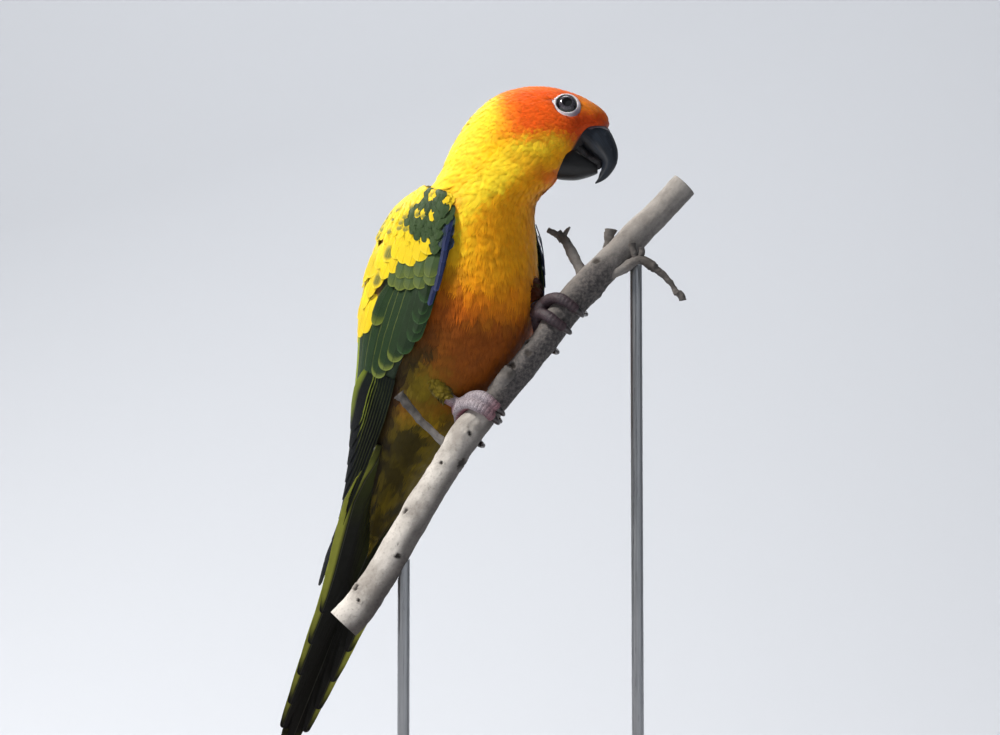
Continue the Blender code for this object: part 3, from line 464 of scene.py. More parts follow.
def swollen(rings, rise):
    """Rings of points, moved away from their middles."""
    return rings + unit(rings - rings.mean(1, keepdims=True)) * rise[..., None]


def sheet_uv(across, along, low=0.01, high=0.99):
    """A place on an unwrap: shares across and along, kept inside a margin."""
    return np.stack(np.broadcast_arrays(low + (high - low) * across, 0.01 + 0.98 * along), -1)


# Materials


class Look:
    """A material in the making. Each method adds nodes, and gives an output that the next ones can take."""

    def __init__(self, name, roughness=0.5, **sockets):
        self.made = bpy.data.materials.new(name)
        self.made.use_nodes = True
        self.nodes, self.links = self.made.node_tree.nodes, self.made.node_tree.links
        self.shader = self.nodes["Principled BSDF"]
        for label, value in {"Roughness": roughness, **sockets}.items():
            self.shader.inputs[label.replace("_", " ")].default_value = value

    def feed(self, socket, value):
        """Feeds a socket from an output, or sets it to a number, a colour or a vector."""
        if isinstance(value, bpy.types.NodeSocket):
            self.links.new(value, socket)
        elif hasattr(value, "__len__"):
            socket.default_value = (*map(float, value), 1.0)[: len(socket.default_value)]
        else:
            socket.default_value = value

    def add(self, kind, output, *inputs, **settings):
        made = self.nodes.new("ShaderNode" + kind)
        for label, value in settings.items():
            setattr(made, label, value)
        for label, value in inputs:
            self.feed(made.inputs[label], value)
        return made.outputs[output]

    def calc(self, operation, first, second=0.0, *third):
        return self.add("Math", 0, *enumerate((first, second, *third)), operation=operation)

    def scaled(self, value, factor, offset=0.0):
        return self.calc("MULTIPLY_ADD", value, factor, offset)

    def times(self, first, second):
        return self.calc("MULTIPLY", first, second)

    def less(self, first, second):
        return self.calc("SUBTRACT", first, second)

    def between(self, value, low, high):
        """Rises from 0 to 1 as the value goes from low to high."""
        inputs = ("Value", value), ("From Min", low), ("From Max", high)
        return self.add("MapRange", "Result", *inputs, interpolation_type="SMOOTHSTEP")

    def blend(self, share, first, second, kind="MIX"):
        inputs = ("Factor", share), (6, first), (7, second)
        return self.add("Mix", 2, *inputs, data_type="RGBA", blend_type=kind)

    def shaded(self, colour, shade):
        return self.blend(1.0, colour, shade, "MULTIPLY")

    def colour(self, name):
        return self.add("Attribute", "Color", attribute_name=name)

    def number(self, name):
        return self.add("Attribute", "Fac", attribute_name=name)

    def axes(self, name):
        """The two axes of a UV map."""
        split = self.nodes.new("ShaderNodeSeparateXYZ")
        self.feed(split.inputs[0], self.add("UVMap", "UV", uv_map=name))
        return split.outputs["X"], split.outputs["Y"]

    def lumps(self, scale, detail=3.0, roughness=0.6, stretch=None, vector=None, seed=0.0):
        """Noise in object space; stretch squeezes it along each axis."""
        if vector is None:
            vector = self.add("TexCoord", "Object")
        if stretch or seed:
            inputs = ("Vector", vector), ("Scale", stretch or (1, 1, 1)), ("Location", (seed, seed, seed))
            vector = self.add("Mapping", "Vector", *inputs)
        inputs = ("Vector", vector), ("Scale", scale), ("Detail", detail), ("Roughness", roughness)
        return self.add("TexNoise", "Fac", *inputs)

    def cells(self, scale):
        """The distance to the nearest border between the cells of a mosaic."""
        inputs = ("Vector", self.add("TexCoord", "Object")), ("Scale", scale)
        return self.add("TexVoronoi", "Distance", *inputs, feature="DISTANCE_TO_EDGE")

    def finish(self, colour, roughness=None, height=None, depth=0.0, strength=1.0):
        self.feed(self.shader.inputs["Base Color"], colour)
        if roughness is not None:
            self.feed(self.shader.inputs["Roughness"], roughness)
        if height is not None:
            inputs = ("Distance", depth), ("Strength", strength), ("Height", height)
            self.feed(self.shader.inputs["Normal"], self.add("Bump", "Normal", *inputs))
        return self.made


def coat_material():
    """Soft body feathers: the colour of each, uneven as dust and wear leave it."""
    look = Look("soft_feather", Sheen_Weight=0.1, Sheen_Roughness=0.5, Specular_IOR_Level=0.15)
    fine = look.lumps(2400, 2.0)
    shade = look.scaled(fine, 0.22, look.less(look.scaled(look.lumps(260), 0.34, 0.83), 0.11))
    return look.finish(look.shaded(look.colour("tint"), shade), look.scaled(fine, 0.25, 0.47))


def vane_material(name, gloss, shine=0.28):
    """A firm feather: web, pale rim and shaft, with its barbs as fine slanting lines."""
    look = Look(name, Specular_IOR_Level=shine)
    across, along = look.axes("web")
    across = look.calc("ABSOLUTE", across)
    barb_across, barb_along = look.axes("barb")
    slant = look.less(barb_along, look.calc("ABSOLUTE", barb_across))
    wave = look.calc("SINE", look.times(slant, 14.0))
    ragged = look.lumps(700, 2.0)
    rim = look.times(look.between(look.scaled(ragged, 0.16, look.less(across, 0.08)), 0.88, 0.97), 0.7)
    rim = look.calc("MAXIMUM", rim, look.between(look.scaled(ragged, 0.05, along), 0.965, 1.02))
    colour = look.blend(rim, look.colour("tint"), look.colour("rim"))
    shaft = look.less(1.0, look.between(across, 0.02, 0.06))
    colour = look.blend(look.times(shaft, 0.55), colour, look.colour("shaft"))
    shade = look.scaled(look.lumps(320), 0.3, look.less(look.scaled(wave, 0.07, 0.93), 0.13))
    roughness = look.scaled(look.lumps(500, 2.0, seed=3.0), 0.2, gloss)
    return look.finish(look.shaded(colour, shade), roughness, wave, 0.00006)


def skin_material():
    look = Look("plumage_ground", 0.75, Sheen_Weight=0.15)
    shade = look.scaled(look.lumps(700), 0.5, 0.55)
    return look.finish(look.shaded(look.colour("tint"), shade), None, look.lumps(1500, 2.0), 0.0002)


COAT = coat_material()
WING_VANE = vane_material("wing_vane", 0.42)
FLIGHT_VANE = vane_material("flight_vane", 0.55, 0.12)
TAIL_VANE = vane_material("tail_vane", 0.5)
GROUND = skin_material()

# Colours of the plumage
YELLOW, PALE_YELLOW, WING_YELLOW = srgb(252, 200, 10), srgb(252, 224, 48), srgb(250, 214, 22)
GOLD, ORANGE, FLAME, DEEP_ORANGE = srgb(232, 148, 6), srgb(224, 104, 8), srgb(232, 66, 18), srgb(126, 54, 4)
OLIVE_YELLOW, LIME, PALE_GREEN = srgb(126, 108, 12), srgb(150, 164, 40), srgb(126, 140, 58)
WING_GREEN, DARK_GREEN = srgb(74, 96, 56), srgb(28, 54, 20)
BLUE, BLACKISH = srgb(30, 42, 84), srgb(11, 13, 15)


def body_colour(t, angle):
    """The plumage's markings, the same on both sides of the bird."""
    q, side, h = flat_ring(BODY_RINGS, t, angle)
    turn = from_breast(angle)
    spots = np.stack(np.broadcast_arrays(q, side, h), -1)
    uneven = noise(spots, 9.0, 1) + 0.5 * noise(spots, 4.0, 2)
    # Pale hind neck and mantle, golden throat and breast
    colour = mix(YELLOW, PALE_YELLOW, ease(95, 150, turn) * ease(5, 8, t))
    colour = mix(colour, GOLD, 0.8 * ease(68, 26, turn + 8 * uneven) * ease(4, 8, t))
    # Painted light: a paler yellow patch on each side of the breast
    painted_light = ease(34, 58, turn + 6 * uneven) * ease(96, 78, turn) * ease(-26, -8, h)
    colour = mix(colour, PALE_YELLOW, 0.8 * painted_light)
    # Orange-red belly, reaching higher beside the wings than at the middle of the breast
    top = -17 - 15 * ease(74, 22, turn) + 4 * uneven
    belly = ease(top + 14, top - 12, h) * ease(106, 90, turn) * ease(-84, -70, h + 3 * uneven)
    # Low down the orange deepens: the belly's own redder orange, and partly painted shade under the body
    colour = mix(colour, mix(ORANGE, DEEP_ORANGE, ease(-24, -46, h + 2 * uneven)), 0.95 * belly)
    thigh = bell((q, -11, 9.0), (h, -62, 11)) * ease(10, 40, turn)
    colour = mix(colour, OLIVE_YELLOW * 0.85, 0.95 * np.clip(thigh * (1.3 + 0.3 * uneven), 0, 1))
    colour = mix(colour, FLAME, 0.8 * bell((t, 9.7, 0.5), (turn, 77, 10)))
    # Olive-yellow vent and coverts over and under the tail
    vent = ease(-68, -82, h + 4 * uneven) * ease(150, 110, turn)
    streaks = ease(-0.5, 0.6, noise(spots * [1.0, 1.0, 0.45], 4.5, 9) + 0.5 * uneven)
    # The vent's streaked olive is its own colour, darkened to a fifth to seven tenths: partly painted shade under
    # the body
    colour = mix(colour, mix(OLIVE_YELLOW * 0.2, OLIVE_YELLOW * 0.7, streaks), vent)
    # Painted shadow on the plumage beside the wing's lower edge, where the wing shades it
    edge = bed_edge(t_on_bed(t))
    beside = ease(edge - 15, edge - 2, turn + 3 * uneven) * ease(110, 92, turn)
    colour = mix(colour, srgb(26, 18, 6), beside * (0.4 * ease(-12, -26, h) + 0.5 * ease(-42, -58, h)))
    colour = mix(colour, PALE_GREEN, 0.6 * ease(-88, -104, h) * ease(110, 150, turn))
    # Head: an orange-red mask from the bill over the crown and ear coverts
    face = ease(11.5, 13.5, t)
    past = h - cheek_line(q)
    mask = ease(-4.0, 3.0, past + 1.6 * uneven) * ease(2.0, 12.0, q + 1.6 * uneven)
    inner = mix(srgb(246, 132, 18), srgb(238, 94, 12), ease(8, 17, q + 1.5 * uneven))
    colour = mix(colour, mix(srgb(236, 120, 14), inner, ease(-0.5, 3.5, past + uneven)), mask * face)
    # Lores, crown, brow, cheek and chin: the lores' deep red is partly painted shade, and the crown's and brow's
    # paler orange partly painted light
    for tint, share in (
        (srgb(190, 58, 6), 0.75 * (ease(29, 36, q) * ease(32, 26, h))),
        (srgb(248, 150, 30), 0.6 * ease(37, 43, h + 0.6 * uneven) * ease(1, 5, q)),
        (srgb(240, 146, 16), 0.75 * (ease(33, 38, q) * ease(27.5, 32, h))),
        (mix(GOLD, YELLOW, 0.3), 0.7 * (ease(18, 12, h) * ease(9, 14, q))),
        (FLAME, 0.75 * bell((q, 25.5, 4.2), (h, 6.5, 3.0))),
    ):
        colour = mix(colour, tint, share * face)
    return colour


def body_uv(t, angle):
    return sheet_uv(angle / FULL_TURN % 1.0, np.clip((t + 1) / (LAST_RING + 2), 0, 1), high=0.97)


def leg_uv(t, angle, number):
    return np.stack([0.975 + 0.02 * angle / 7, 0.05 + 0.4 * (t + number)], -1)


# Feathers

TRIES = 5  # Places tried for each feather that there could be room for
CELLS_ALONG, CELLS_ROUND = 120, 96


def scatter(surface, span_t, span_angle, spacing, seed):
    """Places spread evenly over a surface, no two nearer than the spacing there."""
    draw = np.random.default_rng(seed)
    edges_t, edges_a = np.linspace(*span_t, CELLS_ALONG + 1), np.linspace(*span_angle, CELLS_ROUND + 1)
    step_t, step_a = edges_t[1] - edges_t[0], edges_a[1] - edges_a[0]
    t, angle = np.meshgrid((edges_t[1:] + edges_t[:-1]) / 2, (edges_a[1:] + edges_a[:-1]) / 2, indexing="ij")
    area = np.linalg.norm(np.cross(*slopes(surface, t, angle)), axis=-1) * step_t * step_a
    weight = (area / spacing(t) ** 2).ravel()
    count = int(weight.sum() * TRIES)
    pick = draw.choice(weight.size, count, p=weight / weight.sum())
    t = t.ravel()[pick] + (draw.random(count) - 0.5) * step_t
    angle = angle.ravel()[pick] + (draw.random(count) - 0.5) * step_a
    points, gaps = surface(t, angle, 0.0), spacing(t)
    boxes = np.floor(points / gaps.max()).astype(int).tolist()
    steps = [(i, j, k) for i in (-1, 0, 1) for j in (-1, 0, 1) for k in (-1, 0, 1)]
    taken, kept = {}, []
    for n, ((i, j, k), (x, y, z), gap) in enumerate(zip(boxes, points.tolist(), gaps.tolist())):
        others = (spot for a, b, c in steps for spot in taken.get((i + a, j + b, k + c), ()))
        if all((a - x) ** 2 + (b - y) ** 2 + (c - z) ** 2 >= gap * gap for a, b, c in others):
            taken.setdefault((i, j, k), []).append((x, y, z))
            kept.append(n)
    return t[kept], angle[kept]


def blade_fan(count):
    """A soft feather as a fan of tapered blades: places across and along it, each point's blade, and faces."""
    across, along, quads, ends = [], [], [], []
    for blade in range(count):
        middle = (blade + 0.5) / count * 2 - 1
        tip = 1 - 0.26 * middle * middle
        first = len(across)
        for v, spread, half in ((0.0, 0.5, 0.9), (0.42, 1.0, 1.3), (0.76, 0.97, 1.0)):
            across += [middle * spread - half / count, middle * spread + half / count]
            along += [v * tip, v * tip]
        across.append(middle * 0.86)
        along.append(tip)
        quads += [(first, first + 1, first + 3, first + 2), (first + 2, first + 3, first + 5, first + 4)]
        ends.append((first + 4, first + 5, first + 6))
    return np.array(across), np.array(along), np.repeat(np.arange(count), 7), np.array(quads), np.array(ends)


def feather_points(surface, t, angle, across, along, yaw, lift):
    """Points of feathers laid on a surface, from their roots towards falling t: across and along in mm."""
    down, around = slopes(surface, t, angle)
    fall = unit(-down)
    beside = unit(around - fall * (around * fall).sum(-1, keepdims=True))
    cos, sin = np.cos(yaw)[:, None], np.sin(yaw)[:, None]
    run, out = along * cos - across * sin, along * sin + across * cos
    step_a = out / np.maximum((around * beside).sum(-1), 0.5)[:, None]
    drop = -np.maximum(np.linalg.norm(down, axis=-1), 0.3)[:, None]
    step_t = (run - step_a * (around * fall).sum(-1)[:, None]) / drop
    return surface(t[:, None] + step_t, angle[:, None] + step_a, lift)


MOST_TRIANGLES, BLADE_TRIANGLES = 190000, 5


def soft_coat(name, surface, t, angle, length, width, lifts, colour, uv, seed, blades=7, spread=0.16, yaw=0):
    """Pieces of soft plumage, each under the most triangles that one may have."""
    draw = np.random.default_rng(seed)
    across, along, blade, quads, ends = blade_fan(blades)
    count = len(t)
    size = draw.normal(1, 0.1, count).clip(0.75, 1.3)
    length, width = (length * size)[:, None], (width * size)[:, None]
    turn = draw.normal(0, spread, count) + yaw
    loose = draw.normal(0, 1, (count, blades))[:, blade]
    x = across * width + 0.05 * loose * width * along
    y = along * length * (1 + 0.05 * loose)
    lift = lifts[0] + (lifts[1] - lifts[0]) * along**0.7 + draw.normal(0, 0.08, count)[:, None] * along
    lift = lift - 0.35 * across**2 * along + 0.05 * loose * along
    points = feather_points(surface, t, angle, x, y, turn, lift)
    # Each feather is painted darker towards its root: painted shade where the feathers lie over one another
    shade = 0.82 + 0.18 * ease(0.1, 0.8, along)
    tone = draw.normal(1, 0.045, count)[:, None] * (1 + 0.03 * loose) * shade
    tints = colour[:, None] * tone[..., None]
    patch = uv[:, None] + np.stack([across * 0.0015, (along - 0.5) * 0.003], -1)
    # The faces look outwards
    outer = surface(t[:1], angle[:1], 1.0) - surface(t[:1], angle[:1], 0.0)
    a, b, c = (points[0, k] for k in quads[0][:3])
    if np.cross(b - a, c - a).dot(outer[0]) < 0:
        quads, ends = quads[:, ::-1], ends[:, ::-1]
    step = MOST_TRIANGLES // (blades * BLADE_TRIANGLES)
    for k, start in enumerate(range(0, count, step)):
        part = slice(start, start + step)
        shift = (np.arange(len(points[part])) * len(across))[:, None, None]
        faces = [(quads + shift).reshape(-1, 4), (ends + shift).reshape(-1, 3)]
        piece = make_mesh(f"{name}_{k + 1}", points[part], faces, COAT, {"tint": tints[part]}, patch[part])
        put(piece, "plumage")


VANE_ALONG = np.array([0, 0.1, 0.22, 0.36, 0.5, 0.64, 0.76, 0.86, 0.92, 0.96, 0.985, 1.0])
VANE_ACROSS = np.array([-1, -0.9, -0.7, -0.4, -0.09, 0, 0.09, 0.4, 0.7, 0.9, 1.0])
SMALL_ALONG, SMALL_ACROSS = VANE_ALONG[[0, 2, 4, 6, 7, 8, 9, 11]], VANE_ACROSS[[0, 1, 2, 3, 5, 7, 8, 9, 10]]


def default_rise(v):
    return np.interp(v, [0, 0.35, 0.86, 1.0], [0, 0.75, 1.0, 1.05])


def vane_sheet(place, length, half, form, lifts, draw, levels=default_rise, small=False):
    """Firm feathers as thin closed leaves. place gives points from a place along, one across, and a lift.

    The form is the outline, how far the tip is pulled to a point, the thickness, the tilt and the camber.
    """
    taper, point, thick, tilt, camber = form
    net = (SMALL_ALONG, SMALL_ACROSS) if small else (VANE_ALONG, VANE_ACROSS)
    v, s = (axis.ravel()[None] for axis in np.meshgrid(*net, indexing="ij"))
    count = len(length)
    length, half = length[:, None], half[:, None]
    width = np.interp(v, *taper)
    pull = (1 - np.sqrt(np.clip(1 - 0.97 * s * s, 0, 1))) * half * width * point * ease(0.55, 1.0, v)
    along = v * length - pull
    across = s * half * width * (1 + 0.012 * draw.normal(0, 1, (count, 1)) * np.sin(v * 30 + s * 4))
    share = np.clip(along / length, 0, 1)
    lift = lifts[0][:, None] + (lifts[1] - lifts[0])[:, None] * levels(v)
    lift = lift + tilt * across - camber * s * s * half * width + 0.14 * bell((s, 0, 0.08)) * (1 - 0.7 * v)
    top = place(share, across, lift)
    points = np.concatenate([top, place(share, across, lift - thick * (1 - 0.5 * (np.abs(s) > 0.95)))], 1)
    rows, columns = map(len, net)
    number = rows * columns
    half_faces = grid_faces(rows, columns)
    net = np.arange(number).reshape(rows, columns)
    rim = np.concatenate([net[:, 0], net[-1, 1:], net[-2::-1, -1], net[0, -2:0:-1]])
    onward = np.roll(rim, -1)
    sides = np.stack([rim, rim + number, onward + number, onward], -1)
    faces = np.concatenate([half_faces, half_faces[:, ::-1] + number, sides])
    a, b, d = (points[0, half_faces[0][k]] for k in (0, 1, 3))
    if np.cross(b - a, d - a).dot(points[0, 0] - points[0, number]) < 0:
        faces = faces[:, ::-1]
    # Each leaf's own cell of the unwrap, its underside beside its upper side
    cells = math.ceil(math.sqrt(count))
    corner = np.stack(np.divmod(np.arange(count), cells)[::-1], -1)[:, None] / cells
    inner = np.stack([s * 0.225 + 0.25, v * 0.96 + 0.02], -1)
    twice = lambda values: np.concatenate([values, values], 1)
    return SimpleNamespace(
        points=points,
        faces=faces,
        uv=np.concatenate([corner + inner / cells, corner + (inner + [0.5, 0]) / cells], 1),
        web=twice(np.stack(np.broadcast_arrays(s, v, along)[:2], -1)),
        barb=twice(np.stack([across, along], -1)),
        v=twice(v),
        s=twice(s),
        top=np.repeat([[1.0, 0.0]], number, axis=1),
    )


def vane_piece(name, sheet, tint, rim, shaft, look, slot, *nodes):
    """One mesh from leaves made alike; the colours are for each point of each leaf."""
    count, number = sheet.points.shape[:2]
    faces = (sheet.faces + (np.arange(count) * number)[:, None, None]).reshape(-1, 4)
    colours = {"tint": tint, "rim": rim, "shaft": shaft}
    tints = {label: np.broadcast_to(values, sheet.points.shape) for label, values in colours.items()}
    maps = {"web": sheet.web, "barb": sheet.barb}
    put(make_mesh(name, sheet.points, [faces], look, tints, sheet.uv, maps), slot, *nodes)


# Skin and coat

BODY_NET, LEG_NET = (190, 112), (24, 32)  # Rings, and points in each


def leg_surface(plan):
    """A feathered leg as a surface: t falls from 1 at the thigh to 0 at the ankle."""
    centres = spline([posed(*stop) for stop in plan["leg"]], LEG_NET[0])
    radii = np.interp(np.linspace(0, 2, LEG_NET[0]), [0, 1, 2], LEG_RADII)
    along = unit(np.gradient(centres, axis=0))
    side = unit(np.cross(along, [0.0, 0.3, 1.0]))
    rows = np.concatenate([centres, side, np.cross(along, side), radii[:, None]], 1)[::-1]

    def surface(t, angle, lift=0.0):
        row = rows_at(rows, np.asarray(t, float) * (LEG_NET[0] - 1))
        angle = np.asarray(angle, float)[..., None]
        reach = np.maximum(row[..., 9] + lift, 0.5)[..., None]
        return row[..., :3] + (row[..., 3:6] * np.cos(angle) + row[..., 6:9] * np.sin(angle)) * reach

    return surface


def eye_frame(hand):
    """An eye's centre at the level of the skin, and its forward, upward and outward directions; 1 is the left."""
    origin = head_point(0, 0, 0)
    out = unit(head_point(0.16, hand, 0.12) - origin)
    forward = unit(head_point(1, 0, 0) - origin)
    forward = unit(forward - out * forward.dot(out))
    up = np.cross(out, forward)
    up = up if up[2] > 0 else -up
    return head_point(EYE_AT[0], hand * EYE_AT[1], EYE_AT[2]), forward, up, out


def plain_degrees(turn):
    """A turn in degrees, from -180 to 180."""
    return np.degrees(np.angle(np.exp(1j * np.asarray(turn))))


def ring_reach(turn):
    """How far the bare skin round the eye reaches: most below and in front, and to a point at the rear."""
    degrees = plain_degrees(turn)
    turns = [-180, -135, -90, -60, -35, -10, 15, 45, 70, 100, 135, 160, 180]
    reach = np.interp(degrees, turns, [5.0, 5.1, 5.7, 6.3, 6.2, 5.6, 5.1, 4.6, 4.3, 4.25, 4.5, 4.8, 5.0])
    return reach + 2.7 * bell((degrees, 166, 9.0))


def lid_reach(turn):
    """How far the opening between the lids reaches from the middle of the eye."""
    return 1 / np.hypot(np.cos(turn) / 3.9, np.sin(turn) / 3.6)


def in_bill(q, side, h):
    """Whether points of the side view lie inside the bill."""
    inside = np.zeros(np.shape(q), bool)
    for rows in (UPPER_BILL, LOWER_BILL):
        for row in spline(rows, 30):
            middle, along = (row[:2] + row[2:4]) / 2, (row[:2] - row[2:4]) / 2
            reach = np.hypot(*along)
            along = along / reach
            up = (q - middle[0]) * along[0] + (h - middle[1]) * along[1]
            over = np.abs((q - middle[0]) * along[1] - (h - middle[1]) * along[0])
            inside |= ((up / reach) ** 2 + (side / row[4]) ** 2 < 1) & (over < 0.8)
    return inside


def build_skin():
    t, angle = tube_net(LAST_RING, *BODY_NET)
    # The skin lies inside the outline: less on the head, where the feathers are short
    flesh = body_surface(t, angle, 0.75 * ease(9.0, 14.0, t) - 1.3)
    # Shallow sockets under the eyes' rings
    for hand in (-1, 1):
        centre, _, _, out = eye_frame(hand)
        flesh = flesh - out * (1.5 * ease(6.0, 3.0, np.linalg.norm(flesh - centre, axis=-1)))[..., None]
    q, _, h = flat_ring(BODY_RINGS, t, angle)
    at_bill = ease(0.0, 0.8, past_margin(q, h)) * (t > 16)
    tints = [with_ends(mix(body_colour(t, angle) * 0.85, srgb(24, 20, 22), at_bill))]
    uv = [with_ends(body_uv(t, angle))]
    legs = []
    t, angle = tube_net(1, *LEG_NET)
    for k, plan in enumerate(FEET.values()):
        legs.append(leg_surface(plan)(t, angle, -0.9))
        uv.append(with_ends(leg_uv(t, angle, k)))
        tints.append(np.broadcast_to(OLIVE_YELLOW * 0.55, (len(uv[-1]), 3)))
    points, faces = closed_tubes(flesh, *legs)
    skin = make_mesh("skin", points, faces, GROUND, {"tint": np.concatenate(tints)}, np.concatenate(uv))
    put(skin, "plumage", "torso", "neck", "head", "leg_left", "leg_right")


def build_coat():
    """Soft feathers over the body, finer over the neck, and finest on the head and face."""
    scale = 1.0
    # Body: larger feathers low down and on the back
    gap = lambda t: (1.75 - 0.5 * ease(7.0, 11.0, t)) * scale
    t, angle = scatter(body_surface, (0.15, 12.2), (0, FULL_TURN), gap, 1)
    turn = from_breast(angle)
    hidden = (turn > bed_edge(t_on_bed(t)) + 14) & (turn < 146) & (t < 9.0) & (t > 3.2)
    t, angle, turn = t[~hidden], angle[~hidden], turn[~hidden]
    # The hind neck's feathers are longer and lie over the top of the wings
    hind = ease(8.6, 9.3, t) * ease(11.9, 10.9, t) * ease(88, 112, turn)
    length = 9.0 - 3.6 * ease(7.0, 12.0, t) + 5.0 * ease(4.0, 1.5, t) + 4.5 * hind
    width = 2.5 - 0.95 * ease(7.0, 12.0, t) + 0.4 * ease(4.0, 1.5, t) + 0.5 * hind
    lifts = (-1.2, (0.15 + 1.9 * hind)[:, None])
    colour, uv = body_colour(t, angle), body_uv(t, angle)
    soft_coat("coat_body", body_surface, t, angle, length, width, lifts, colour, uv, 2)
    # Head
    gap = lambda t: (1.15 - 0.42 * ease(12.5, 16.5, t)) * scale
    t, angle = scatter(body_surface, (11.9, LAST_RING - 0.25), (0, FULL_TURN), gap, 3)
    q, side, h = flat_ring(BODY_RINGS, t, angle)
    keep = ~in_bill(q, side, h) & (past_margin(q, h) < -0.1)
    points = body_surface(t, angle)
    length = 4.6 - 2.3 * ease(12.5, 18.5, t)
    for hand in (-1, 1):
        centre, *axes = eye_frame(hand)
        x, y, z = ((points - centre) @ axis for axis in axes)
        reach, bare = np.hypot(x, y), ring_reach(np.arctan2(y, x))
        close = (np.abs(z) < 5) & (reach < 12)
        keep &= ~(close & (reach < bare - 0.25))
        # A feather in front of the eye stops short of its ring
        ahead = close & (x > 0) & (np.abs(y) < 6.5)
        length = np.where(ahead, np.minimum(length, np.maximum(reach - bare + 0.35, 0.7)), length)
    t, angle, length, q, h = (values[keep] for values in (t, angle, length, q, h))
    draw = np.random.default_rng(40)
    ragged = bell((h, cheek_line(q), 3.5)) * ease(6, 12, q)
    colour = mix(body_colour(t, angle), srgb(250, 170, 14), 0.6 * ragged * (draw.random(len(t)) < 0.4))
    yaw = 0.5 * ragged * draw.normal(0, 1, len(t))
    width, uv = 0.33 * length + 0.12, body_uv(t, angle)
    soft_coat("coat_head", body_surface, t, angle, length, width, (-0.55, 0.12), colour, uv, 4, 5, 0.14, yaw)
    # Legs
    gap = lambda t: np.full(np.shape(t), 1.25 * scale)
    for k, (name, plan) in enumerate(FEET.items()):
        surface = leg_surface(plan)
        t, angle = scatter(surface, (0.02, 1.0), (0, FULL_TURN), gap, 5 + k)
        size = 5.4 + 2.4 * ease(0.6, 0.1, t)
        # The left, far leg's feathers are deep orange darkened by half: painted shade
        ground = OLIVE_YELLOW * 0.75 if name == "right" else DEEP_ORANGE * 0.5
        shade = ground * (0.9 + 0.25 * noise(surface(t, angle), 5.0, 4))[:, None]
        uv = leg_uv(t, angle, k)
        soft_coat(f"coat_leg_{name}", surface, t, angle, size, size * 0.34, (-1.6, 0.2), shade, uv, 7 + k)


# Wings


def wing_patch(t, degrees):
    """How yellow a small feather of the wing is, from 0, green, to 1."""
    places, border = table(2, "0 97  .4 93  .7 92  1 96  1.2 98  1.45 88  1.65 82  1.8 76  2 67  2.2 66").T
    yellow = ease(-1.0, 1.0, degrees - np.interp(t, places, border))
    for at, turn, wide, high in table(4, ".4 84 .13 5  .35 65.5 .42 4.5  .98 81 .1 9  -.1 78 .12 5"):
        yellow = np.maximum(yellow, ease(1.15, 0.85, ((t - at) / wide) ** 2 + ((degrees - turn) / high) ** 2))
    return yellow


def bed_scale(t, degrees, hand):
    """Millimetres for each degree of the wing bed."""
    step = bed_points(t, degrees + 1.0, 0.0, hand) - bed_points(t, degrees - 1.0, 0.0, hand)
    return np.linalg.norm(step, axis=-1) / 2


def wing_place(root, tip, hand):
    """Points over the wing bed for leaves that run from root to tip, each a (t, degrees) pair."""

    def place(share, across, lift):
        t = root[:, :1] + (tip[:, :1] - root[:, :1]) * share
        middle = root[:, 1:] + (tip[:, 1:] - root[:, 1:]) * share
        return bed_points(t, middle + across / bed_scale(t, middle, hand), lift, hand)

    return place


# The outlines of broad and of round feathers: places along them, and the width there
BROAD = ((0, 0.12, 0.35, 0.8, 1.0), (0.5, 0.8, 1.0, 1.0, 0.86))
ROUND = ((0, 0.12, 0.35, 0.75, 0.92, 1.0), (0.6, 0.9, 1.0, 0.98, 0.82, 0.62))
# Each kind of firm feather: its web, its tip and its rim; c has a green centre
KINDS = {
    "d": (DARK_GREEN, LIME * 0.6, PALE_GREEN * 0.8),
    "k": (DARK_GREEN * 0.8, DARK_GREEN * 0.9, DARK_GREEN * 1.7),
    "g": (WING_GREEN, PALE_GREEN * 0.65, PALE_GREEN * 0.85),
    "y": (WING_YELLOW, WING_YELLOW, PALE_YELLOW),
    "c": (WING_YELLOW, WING_YELLOW, PALE_YELLOW),
    "t": (srgb(140, 156, 44), LIME, srgb(186, 196, 60)),
    "b": (BLUE, BLUE * 1.25, BLUE * 1.6),
}
# Rows of firm feathers, the lowest first: half width, length in places along the bed, lift at root and tip,
# their kinds, and their tips' places and degrees from the wing's front edge to its back
FIRM_ROWS = {
    "secondary": (
        (3.7, 2.7, -0.3, 1.4),
        "kkkkdddddd",
        "3.2 62.5  3.7 63  4.05 64.5  4.35 70  4.6 76  4.85 82  5.15 88  5.5 98  5.75 108  5.95 118",
    ),
    "tertial": ((4.6, 2.4, -0.1, 1.9), "tttt", "6.0 126  6.25 134  6.45 143  6.6 152"),
    "primary_covert": ((1.9, 1.7, -0.2, 1.4), "kkkk", "3.85 64  3.5 62.5  3.15 62.5  2.8 65"),
    "leading": ((1.05, 1.2, 0.0, 1.6), "bbbbb", "3.3 58.6  2.95 57.0  2.6 55.9  2.25 55.4  1.9 56.2"),
    "greater": (
        (3.4, 0.95, 0.2, 1.8),
        "gggggdyyyy",
        "2.9 61  2.97 67.5  3.06 74  3.12 80.5  3.05 87  3.95 95  4.2 108  4.45 118  4.65 130  4.8 142",
    ),
    "median": (
        (3.1, 0.8, 0.4, 2.0),
        "ggggyycyyyy",
        "2.7 62  2.74 69  2.77 76  2.8 83  2.72 89.5  2.92 96  3.15 103  3.4 109  3.7 115  4.0 124  4.2 136",
    ),
    "lesser": (
        (3.7, 0.95, 0.5, 2.2),
        "yyyyycyyyy",
        "2.13 67  2.34 71.5  2.48 77  2.44 83  2.36 89.5  2.5 97  2.7 104  2.9 113  3.1 123  3.25 135",
    ),
}


